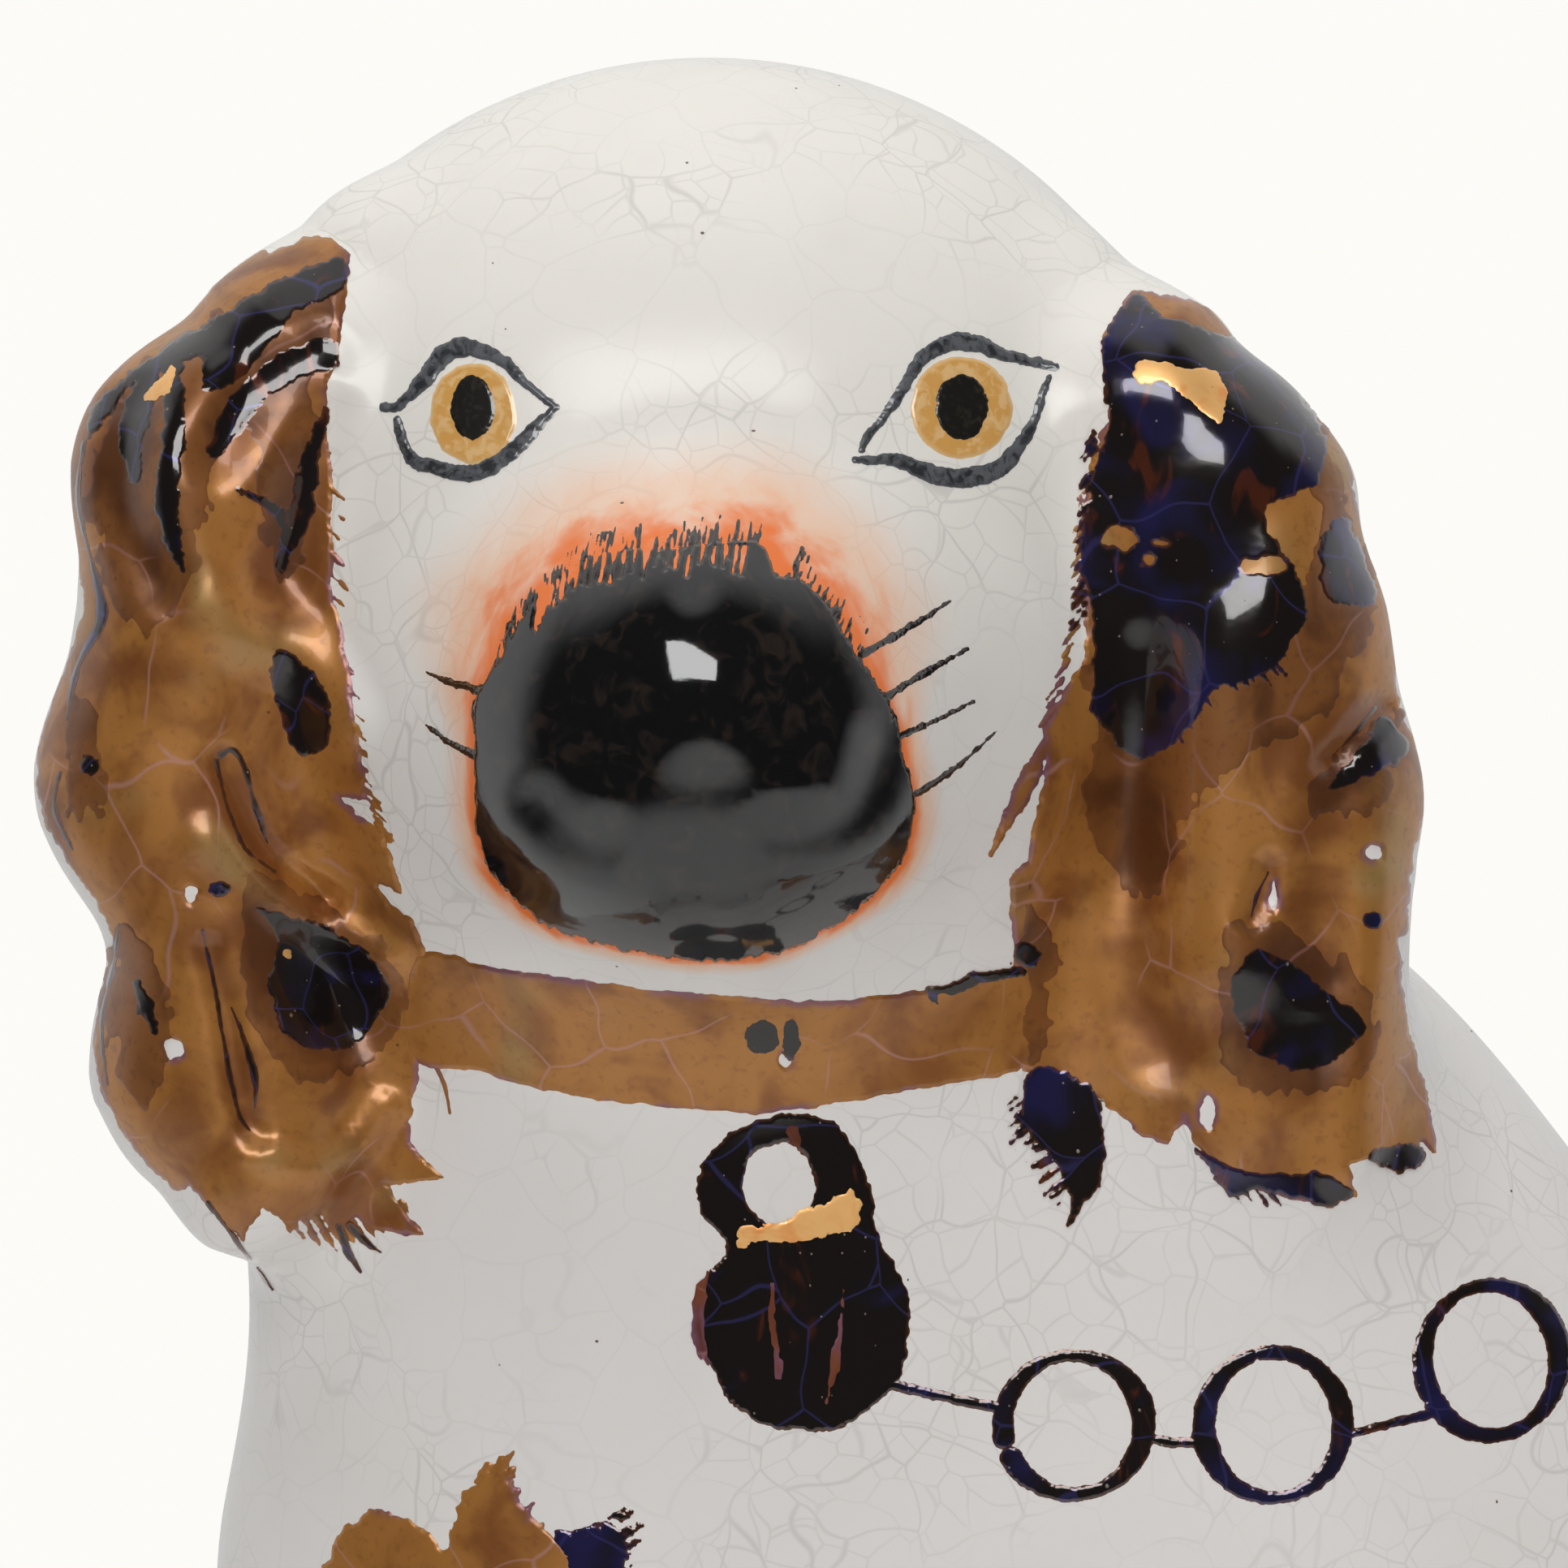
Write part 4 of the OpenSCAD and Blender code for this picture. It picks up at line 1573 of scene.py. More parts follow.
@dataclass(frozen=True)
class KilnGrit:
    """Specks of grit that the kiln dropped on the glaze.

    Attributes:
        density: Specks for each square metre.
        radius: A speck's mean radius, in metres.
        seed: Picks their places.
    """

    density: float = 1500.0
    radius: float = 0.00013
    seed: int = 7

    def tree(self) -> bpy.types.GeometryNodeTree:
        """The node tree that scatters the specks over another piece."""
        tree = bpy.data.node_groups.new("kiln_grit", "GeometryNodeTree")
        kinds = (("Glaze", "NodeSocketObject"), ("Density", "NodeSocketFloat"), ("Radius", "NodeSocketFloat"),
                 ("Seed", "NodeSocketInt"), ("Finish", "NodeSocketMaterial"))
        for title, kind in kinds:
            tree.interface.new_socket(title, in_out="INPUT", socket_type=kind)
        tree.interface.new_socket("Geometry", in_out="OUTPUT", socket_type="NodeSocketGeometry")
        given = tree.nodes.new("NodeGroupInput")
        glaze = tree.nodes.new("GeometryNodeObjectInfo")
        scatter = tree.nodes.new("GeometryNodeDistributePointsOnFaces")
        grain = tree.nodes.new("GeometryNodeMeshIcoSphere")
        grain.inputs["Subdivisions"].default_value = 1
        size = tree.nodes.new("FunctionNodeRandomValue")
        size.data_type = "FLOAT_VECTOR"
        size.inputs["Min"].default_value = (0.5, 0.5, 0.3)
        size.inputs["Max"].default_value = (1.6, 1.3, 0.6)
        place = tree.nodes.new("GeometryNodeInstanceOnPoints")
        whole = tree.nodes.new("GeometryNodeRealizeInstances")
        dress = tree.nodes.new("GeometryNodeSetMaterial")
        result = tree.nodes.new("NodeGroupOutput")
        for source, socket, sink, title in (
            (given, "Glaze", glaze, "Object"),
            (glaze, "Geometry", scatter, "Mesh"),
            (given, "Density", scatter, "Density"),
            (given, "Seed", scatter, "Seed"),
            (given, "Radius", grain, "Radius"),
            (given, "Seed", size, "Seed"),
            (scatter, "Points", place, "Points"),
            (scatter, "Rotation", place, "Rotation"),
            (grain, "Mesh", place, "Instance"),
            (place, "Instances", whole, "Geometry"),
            (whole, "Geometry", dress, "Geometry"),
            (given, "Finish", dress, "Material"),
            (dress, "Geometry", result, "Geometry"),
        ):
            tree.links.new(source.outputs[socket], sink.inputs[title])
        tree.links.new(size.outputs[0], place.inputs["Scale"])
        return tree

    def scatter(self, glaze: bpy.types.Object, finish: Finish) -> None:
        """Scatters the specks over one glazed piece."""
        name = glaze.name.replace("_clay", "_grit")
        carrier = put_in_scene(name + "_carrier", bpy.data.meshes.new(name + "_carrier"))
        modifier = carrier.modifiers.new("kiln_grit", "NODES")
        modifier.node_group = self.tree()
        values = {"Glaze": glaze, "Density": self.density, "Radius": self.radius, "Seed": self.seed,
                  "Finish": finish.material()}
        for item in modifier.node_group.interface.items_tree:
            if item.in_out == "INPUT":
                modifier[item.identifier] = values[item.name]
        evaluated = carrier.evaluated_get(bpy.context.evaluated_depsgraph_get())
        mesh = bpy.data.meshes.new_from_object(evaluated)
        mesh.name = name
        bpy.data.objects.remove(carrier)
        put_on(put_in_scene(name, mesh), Slot.CLAY)


# The painted decoration. Its places are millimetres on the drawing plane.


def dot(middle: Mark, across: float, up: float) -> Patch:
    """A small round touch of the brush."""
    count = 8
    angles = [2.0 * math.pi * i / count for i in range(count)]
    return Patch(tuple((middle[0] + across * math.cos(a), middle[1] + up * math.sin(a)) for a in angles))


@dataclass(frozen=True)
class Muzzle:
    """The black muzzle, its sponged blush and the whiskers.

    Attributes:
        outline: Edge of the black.
        brow: Upper part of that edge, where the brush ran dry.
    """

    outline: tuple[Mark, ...] = (
        (-9, 212.5), (-12, 211.5), (-15, 209), (-18, 206), (-19.5, 203), (-21.5, 199.5), (-21.5, 195),
        (-21.5, 190.5), (-20.5, 186), (-18, 182.5), (-14.5, 180), (-9, 178.5), (-2.5, 177.5), (4, 178),
        (10, 181), (13.5, 184), (15.5, 187.5), (16, 191), (15, 195.5), (14, 199), (11.5, 203),
        (9, 207), (6.5, 210), (4.5, 210), (3, 213), (-1, 213), (-5, 212.5),
    )
    brow: tuple[Mark, ...] = outline[4::-1] + outline[:-4:-1]

    def blush(self, drawn: Array) -> Array:
        """Strength of the sponged blush at drawn points, from 0 to 1."""
        away = np.maximum(-Patch(self.outline).depth(drawn), 0.0)
        top = smooth_step(196.0, 210.0, drawn[:, 1])
        under = smooth_step(186.0, 178.0, drawn[:, 1])
        reach = 2.8 + 8.0 * top - 1.4 * under
        return np.clip(1.0 - away / reach, 0.0, 1.0)

    def paint(self, brush: Brush) -> None:
        """Lays the black and draws the whiskers."""
        black = Enamel("brushed_black")
        hairs = bristles(self.brow, (0.4, 2.0), 96, 0.2, 3)
        right_hairs = bristles(((5.5, 210.5), (9, 207), (11.5, 203)), (0.8, 1.8), 34, 0.18, 4)
        gaps = bristles(((-16, 207.5), (-12, 211), (-5, 212), (2, 212)), (-0.3, -1.8), 30, 0.12, 5)
        painted = (Patch(self.outline), *hairs, *right_hairs)
        brush.lay(Coat("muzzle_black", painted, gaps, 0.2, bite=0.22, grain=(0.5, 1.8)), black, Slot.BLACK)
        whiskers = (
            Stroke(((11.5, 203.5), (15, 205.5), (19, 208)), (0.34, 0.3, 0.14)),
            Stroke(((13, 199.5), (17, 202), (20.5, 204)), (0.34, 0.3, 0.14)),
            Stroke(((14.5, 196.5), (18, 198), (21, 199.5)), (0.3, 0.26, 0.14)),
            Stroke(((15, 191), (19, 193.5), (23, 197)), (0.34, 0.26, 0.12)),
            Stroke(((-21, 200.5), (-23, 201), (-25.5, 202)), (0.4, 0.3, 0.14)),
            Stroke(((-21.5, 195), (-23.5, 196), (-25.5, 197.5)), (0.4, 0.26, 0.12)),
        )
        lines = Coat("whiskers", whiskers, thickness=0.08, bite=0.12, grain=(0.5, 0.5), fine=0.16)
        brush.lay(lines, black, Slot.BLACK)


@dataclass(frozen=True)
class Eye:
    """One painted eye.

    Attributes:
        name: Which eye.
        lids: The brush lines round it.
        iris: The iris's middle and half sizes.
        pupil: The pupil's middle and half sizes.
    """

    name: str
    lids: tuple[Stroke, ...]
    iris: tuple[Mark, float, float]
    pupil: tuple[Mark, float, float]

    def paint(self, brush: Brush) -> None:
        """Lays the iris, the pupil and the lids over each other."""
        amber = Enamel("brushed_amber", (0.70, 0.37, 0.10), (0.84, 0.58, 0.29), 1.2, 0.22, 0.5, 0.16)
        dark = Enamel("pupil_enamel", (0.012, 0.011, 0.009), (0.05, 0.04, 0.03), 0.8, 0.15, 0.3, 0.2)
        grey, worn_grey = (0.028, 0.030, 0.034), (0.13, 0.135, 0.145)
        charcoal = Enamel("charcoal_enamel", grey, worn_grey, 1.1, 0.28, 0.35, 0.24)
        iris = Coat(self.name + "_iris", (dot(*self.iris),), thickness=0.07, bite=0.10, fine=0.16, seed=11)
        brush.lay(iris, amber, Slot.AMBER)
        pupil = Coat(self.name + "_pupil", (dot(*self.pupil),), (), 0.07, 0.06, 0.14, (0.8, 0.8), 0.16, 12)
        brush.lay(pupil, dark, Slot.BLACK)
        lids = Coat(self.name + "_lids", self.lids, (), 0.09, 0.03, 0.12, (0.7, 0.7), 0.16, 13)
        brush.lay(lids, charcoal, Slot.BLACK)


LEFT_EYE = Eye(
    "left_eye",
    (
        Stroke(
            ((-27.5, 225), (-26, 226.5), (-24.5, 228.5), (-23, 229.5), (-21.5, 229.5), (-19, 228.5),
             (-17.5, 227), (-14.5, 224.5)),
            (0.4, 0.75, 0.85, 0.8, 0.6, 0.45, 0.4, 0.3),
        ),
        Stroke(
            ((-28, 223.5), (-27.5, 221.5), (-26.5, 220), (-25, 219.5), (-23, 219), (-21, 219),
             (-18.5, 220.5), (-16.5, 222.5), (-14.5, 224.5)),
            (0.35, 0.5, 0.65, 0.7, 0.75, 0.7, 0.55, 0.35),
        ),
        Stroke(((-29, 224.5), (-28, 224.5), (-27, 225.5)), (0.5, 0.4, 0.35)),
    ),
    ((-21.5, 224), 3.7, 4.3),
    ((-21.5, 224.5), 1.95, 2.8),
)
RIGHT_EYE = Eye(
    "right_eye",
    (
        Stroke(
            ((11.5, 221), (12, 222), (14, 224.5), (15.5, 227), (17, 229), (19, 230), (21, 230), (23.5, 229),
             (25.5, 228.5), (28, 228)),
            (0.35, 0.4, 0.45, 0.55, 0.7, 0.75, 0.6, 0.45, 0.35),
        ),
        Stroke(
            ((27.5, 227), (27, 226), (26, 223), (24, 220), (22.5, 219), (19.5, 218.5), (17, 219),
             (14.5, 220), (12, 220), (11, 220)),
            (0.3, 0.4, 0.5, 0.75, 0.85, 0.8, 0.7, 0.5, 0.3),
        ),
    ),
    ((20, 224.5), 4.3, 4.4),
    ((20, 224.5), 2.35, 2.85),
)


@dataclass(frozen=True)
class EarPaint:
    """The lustre on one ear.

    Attributes:
        side: Which ear.
        lustre: Edge of the lustre.
        bare: Chips where it has come away.
        shade: Painted shade: a darker rust film over the top of the ear and round the dark patches.
        dark: Painted reflection and painted shade: near-black patches, some down the grooves.
        dark_bare: Islands left in the dark.
        lines: Fine dark lines, some along the rim, and those down the grooves painted shade.
        gold: Painted highlights, bright gold where the lustre would throw back the lamp.
        blueness: How blue the dark is.
    """

    side: str
    lustre: tuple[Shape, ...]
    bare: tuple[Shape, ...]
    shade: tuple[Shape, ...]
    dark: tuple[Shape, ...]
    dark_bare: tuple[Shape, ...]
    lines: tuple[Shape, ...]
    gold: tuple[Shape, ...]
    blueness: float

    def paint(self, brush: Brush) -> None:
        """Lays the lustre, then the painted shade, the painted reflection, the lines and the painted
        highlights over it.
        """
        # thick is the darker lustre of the painted shade, and gold the painted highlight.
        tan, gold, thick = Lustre(), PaintedHighlightGold(), SHADED_LUSTRE
        # dark is the near-black painted reflection and shade.
        dark = PaintedShadeAndReflectionLustre(self.side + "_dark_lustre", blueness=self.blueness)
        lustre = Coat(self.side + "_ear_lustre", self.lustre, self.bare, 0.14, 0.0, 0.2, (0.9, 0.9), 0.26, 21)
        brush.lay(lustre, tan, Slot.LUSTRE)
        shade = Coat(self.side + "_ear_shade", self.shade, self.bare, 0.05, 0.12, 0.9, (1.6, 2.4), 0.3, 25)
        brush.lay(shade, thick, Slot.LUSTRE)
        # Painted reflection and painted shade over the lustre.
        black = Coat(self.side + "_ear_dark", self.dark, self.dark_bare, 0.06, 0.16, 0.28, (1.0, 1.0),
                     0.22, 22)
        brush.lay(black, dark, Slot.LUSTRE)
        if self.lines:
            lines = Coat(self.side + "_ear_lines", self.lines, (), 0.05, 0.16, 0.10, (0.8, 1.4), 0.16, 23)
            brush.lay(lines, dark, Slot.LUSTRE)
        # Painted highlights in bright gold.
        bright = Coat(self.side + "_ear_gold", self.gold, (), 0.05, 0.20, 0.22, (0.8, 0.8), 0.18, 24)
        brush.lay(bright, gold, Slot.LUSTRE)


# The darker lustre of the ears' painted shade.
SHADED_LUSTRE = Lustre(
    "shaded_lustre", (0.27, 0.10, 0.026), (0.085, 0.026, 0.009), (0.33, 0.17, 0.055), (0.34, 0.15, 0.12),
    (0.16, 0.06, 0.03),
)
LEFT_EAR_RIM = (
    (-40, 237), (-44.5, 233.5), (-49.5, 229), (-53.5, 224), (-55, 220), (-54.5, 214), (-53.5, 208),
    (-55, 202.5), (-57, 197), (-57.5, 193.5), (-56.5, 189), (-54, 185), (-51.5, 181), (-51, 177.5),
    (-52.5, 172), (-52, 167), (-50, 163), (-46.5, 159),
)
RIGHT_EAR_RIM = (
    (42, 233), (45, 230.5), (48, 227.5), (50, 224.5), (52, 220), (52.5, 216.5), (54, 212.5),
    (55.5, 208), (56, 205), (56, 201.5), (56.5, 198), (58, 195), (58.5, 191), (57.5, 186.5),
    (57, 183), (57, 180.5),
)
LEFT_EAR_PAINT = EarPaint(
    "left",
    (
        Patch((
            *LEFT_EAR_RIM, (-41, 153.5), (-39.5, 156.5), (-37.5, 155),
            (-34.5, 156), (-33, 154.5), (-31.5, 155.5), (-29.5, 154.5), (-25.5, 154), (-29, 158.5),
            (-26.5, 158.5), (-24, 159), (-27, 162), (-26.5, 166), (-26, 170), (-25.5, 178), (-28, 184.5),
            (-29, 188), (-33, 191.5), (-30.5, 191), (-31.5, 198.5), (-32.5, 205.5), (-33.5, 208.5),
            (-33.5, 214), (-33.5, 219.5), (-34, 222.5), (-34, 226), (-33, 230), (-32.5, 233.5),
            (-32, 237.5), (-33.5, 239), (-36, 239),
        ), curved=False),
        Stroke(LEFT_EAR_RIM, (1.2,)),
        *bristles(((-29, 188), (-31, 194), (-33, 208), (-34, 222)), (1.0, -0.9), 26, 0.2, 31),
        *bristles(((-38, 155.5), (-34, 155), (-30, 155), (-27, 156.5)), (1.2, -2.0), 12, 0.3, 32),
    ),
    (
        dot((-45.5, 183), 0.5, 0.7),
        dot((-47, 170), 0.8, 0.9),
        Patch(((-29.5, 184), (-27, 182.5), (-26, 180.5), (-28.5, 182.5))),
    ),
    # Painted shade.
    (
        Patch((
            (-33.5, 234), (-38, 234.5), (-44, 231.5), (-49, 228), (-53, 223.5), (-54.5, 217), (-52.5, 209),
            (-49, 205), (-46, 208), (-44.5, 215), (-43, 221), (-41, 222), (-39.5, 216), (-37.5, 209),
            (-35.5, 213), (-35, 222), (-34.5, 228),
        )),
        Patch(((-56, 200), (-53.5, 199), (-52.5, 193), (-54.5, 189), (-56.5, 192))),
        Patch(((-41, 184), (-34, 182.5), (-28.5, 179), (-27, 173), (-31, 168), (-36, 167.5), (-40.5, 172))),
        Patch(((-52, 180), (-47.5, 177), (-47, 171), (-49, 165), (-52, 169))),
    ),
    # Painted reflection, with painted shade down the grooves.
    (
        Patch((
            (-32.5, 237), (-36.5, 236), (-41, 233.5), (-45, 231), (-48.5, 229), (-52, 226.5), (-54, 223.5),
            (-54.5, 221), (-53, 223), (-50.5, 226), (-47, 228), (-44.5, 228.5), (-44.5, 225.5),
            (-41, 227), (-38.5, 230), (-36.5, 232.5), (-32.5, 234.5),
        )),
        Stroke(((-34.5, 229), (-37, 228), (-40.5, 225.5), (-43.5, 221)), (1.6, 1.3, 1.4, 0.8)),
        Stroke(((-34, 224), (-35.5, 219.5), (-36.5, 215), (-38, 211)), (0.5, 0.9, 1.3, 0.5)),
        Stroke(((-37, 214.5), (-39.5, 216.5), (-41.5, 217.5)), (0.8, 0.5, 0.3)),
        Stroke(((-49, 227), (-50.5, 222), (-50, 218.5)), (1.0, 1.5, 0.7)),
        Stroke(((-47, 228), (-47, 222), (-47.5, 216), (-46, 210.5)), (0.9, 0.9, 1.1, 0.3)),
        Patch(((-38.5, 204), (-35.5, 202.5), (-33.5, 198.5), (-34.5, 195), (-37, 196), (-38.5, 199.5))),
        Patch((
            (-40, 182), (-36, 181), (-31, 179), (-28.5, 175.5), (-29.5, 172.5), (-32, 170), (-35, 170),
            (-38, 171.5), (-39, 175.5), (-38.5, 179.5),
        )),
        dot((-54, 194), 1.1, 0.9),
        dot((-43, 183.5), 1.0, 0.6),
        Stroke(((-50, 175.5), (-49, 173), (-48.5, 171.5)), (0.4, 0.8, 0.5)),
    ),
    (),
    # Fine dark lines along the rim, and painted shade down the grooves.
    (
        Stroke(((-54.5, 221.5), (-55, 216.5), (-53.5, 210), (-53, 206.5), (-55, 202.5), (-56, 198)),
               (0.2, 0.28, 0.2, 0.5, 0.3, 0.15)),
        Stroke(((-56.5, 193.5), (-57, 190.5), (-55.5, 187)), (0.12, 0.3, 0.12)),
        Stroke(((-51.5, 180.5), (-52, 177), (-53, 172), (-52.5, 167)), (0.15, 0.3, 0.2, 0.12)),
        Stroke(((-43.5, 194.5), (-42.5, 190.5), (-41, 187), (-38.5, 185)), (0.25, 0.14, 0.18, 0.1)),
        Stroke(((-43, 195), (-42, 195.5), (-41, 194), (-40, 190.5), (-39, 187.5)),
               (0.3, 0.3, 0.2, 0.3, 0.12)),
        Stroke(((-44.5, 180), (-43.5, 175), (-42.5, 169), (-41.5, 164.5), (-40.5, 163)),
               (0.16, 0.22, 0.16, 0.26, 0.1)),
        Stroke(((-42, 173.5), (-41, 171), (-40, 167.5), (-40, 165)), (0.1, 0.26, 0.3, 0.12)),
        Stroke(((-44, 157), (-40, 151.5), (-38.5, 149.5)), (0.16, 0.2, 0.06)),
        Stroke(((-33, 155), (-32, 152.5), (-31, 151)), (0.34, 0.3, 0.06)),
        Stroke(((-32, 155), (-30.5, 153.5), (-29, 152.5)), (0.3, 0.26, 0.06)),
    ),
    # Painted highlights.
    (
        Patch(((-49.5, 225), (-48, 227), (-47, 228), (-46.5, 227.5), (-47, 226), (-48.5, 225))),
        dot((-37.5, 178), 0.55, 0.55),
    ),
    0.15,
)
RIGHT_EAR_PAINT = EarPaint(
    "right",
    (
        Patch((
            (34.5, 234.5), (38.5, 234), *RIGHT_EAR_RIM, (57.5, 175.5), (58, 171.5), (59, 168),
            (60, 164.5), (60.5, 161), (60, 161), (59, 162), (59, 160), (57, 159.5), (54.5, 160.5),
            (53, 160), (53.5, 157.5), (51.5, 156.5), (49, 157), (45, 158), (43, 158), (41, 160.5),
            (39.5, 162.5), (39, 164), (37.5, 162), (35.5, 162.5), (32, 165.5), (28, 167.5), (25, 168),
            (24.5, 172), (24.5, 178.5), (24, 181.5), (24, 184.5), (25.5, 186), (26, 189), (27, 193),
            (27, 197), (28.5, 200), (30.5, 203.5), (30.5, 207.5), (30, 211.5), (30.5, 218), (32.5, 223),
            (32.5, 226.5), (32, 230.5), (33, 232.5),
        ), curved=False),
        Stroke(RIGHT_EAR_RIM, (1.0,)),
        Stroke(((28, 197.5), (25.5, 192.5), (22.5, 186.5)), (0.3, 0.9, 0.2)),
        *bristles(((32.5, 223), (30.5, 216), (30, 208), (27.5, 198)), (-1.0, -1.3), 22, 0.22, 41),
    ),
    (dot((55, 186.5), 0.8, 0.6), dot((46.5, 183), 0.35, 1.2), dot((41, 164.5), 0.6, 1.5)),
    # Painted shade.
    (
        Patch(((31.5, 204), (30.5, 194), (32, 186), (36, 183), (38.5, 188), (42, 193), (49, 197), (52.5, 203),
               (52, 210), (44, 206), (38, 200))),
        Patch(((50, 224), (54, 214), (55.5, 206), (51.5, 203.5), (49.5, 210), (49.5, 217))),
        Patch(((57, 199), (56.5, 192.5), (51, 189.5), (49.5, 192), (53, 197))),
        Patch(((43, 180), (49, 179.5), (55, 174.5), (54.5, 168), (48, 165.5), (42, 168))),
        Patch(((25.5, 184), (28, 178), (27.5, 170), (25.5, 170), (25, 178))),
    ),
    # Painted reflection.
    (
        Patch((
            (34.5, 234), (32, 230), (32.5, 223), (31, 218), (30, 211.5), (31, 208), (31, 203),
            (31, 198.5), (32.5, 196.5), (35, 194.5), (36.5, 195), (38.5, 196), (40.5, 198.5), (41.5, 200.5),
            (46, 202), (48.5, 205), (49.5, 207), (48.5, 210.5), (46.5, 213.5), (46, 216), (50, 218),
            (51, 220.5), (50, 223.5), (48, 226.5), (44.5, 229.5), (40, 231.5), (37, 232.5),
        )),
        Patch(((50.5, 214), (52.5, 215), (54, 212), (55, 208), (52.5, 207.5), (50.5, 209))),
        Patch(((55.5, 198), (57.5, 196.5), (57.5, 195), (55.5, 193.5), (51, 192), (53.5, 195))),
        Patch((
            (45, 178.5), (47, 178), (50, 176), (54, 172.5), (53, 170), (49, 168), (45, 169.5),
            (43, 173.5), (43, 176.5),
        )),
        dot((55, 181), 0.8, 0.85),
        dot((25.5, 178), 1.2, 1.3),
        Patch(((39.5, 162), (41.5, 160.5), (45.5, 159.5), (50, 159.5), (53, 158), (51.5, 156.5), (49, 157),
               (45, 158), (43, 157.5), (41, 160))),
        Patch(((54.5, 161), (57, 162), (59, 161.5), (59, 160), (57, 159.5), (55, 160))),
        *bristles(((31, 222), (30.5, 214), (30, 206)), (-0.9, -1.2), 14, 0.24, 42),
        *bristles(((48.5, 204.5), (46, 202), (42, 200.5), (38.5, 196)), (0.7, -0.9), 14, 0.3, 43),
        *bristles(((42, 158.5), (44, 158), (47, 157.5)), (1.3, -1.8), 5, 0.24, 44),
        Patch((
            (26.5, 168.5), (29, 168), (31.5, 166), (32, 162.5), (32, 159), (30.5, 157), (29, 155),
            (29, 158), (27.5, 161), (25.5, 163), (25, 166),
        )),
        *bristles(((25, 166), (25.5, 163), (27.5, 160.5), (29, 157)), (-1.4, -1.0), 15, 0.26, 45),
    ),
    (
        dot((33.5, 213.5), 1.5, 1.1),
        dot((36, 211.5), 0.5, 0.5),
        dot((37, 213), 0.6, 0.3),
        dot((45.5, 211), 1.9, 0.7),
    ),
    # Painted shade down the grooves.
    (
        Stroke(((55, 199), (53.5, 197), (51.5, 195)), (0.1, 0.2, 0.08)),
        Stroke(((46, 185), (45, 183), (44.5, 181)), (0.08, 0.16, 0.08)),
    ),
    # Painted highlight.
    (Patch(((35, 228.5), (38.5, 228), (41.5, 227.5), (42.5, 225.5), (42, 223), (40.5, 224), (38.5, 225.5),
            (37, 226.5), (35, 226.5))),),
    0.5,
)


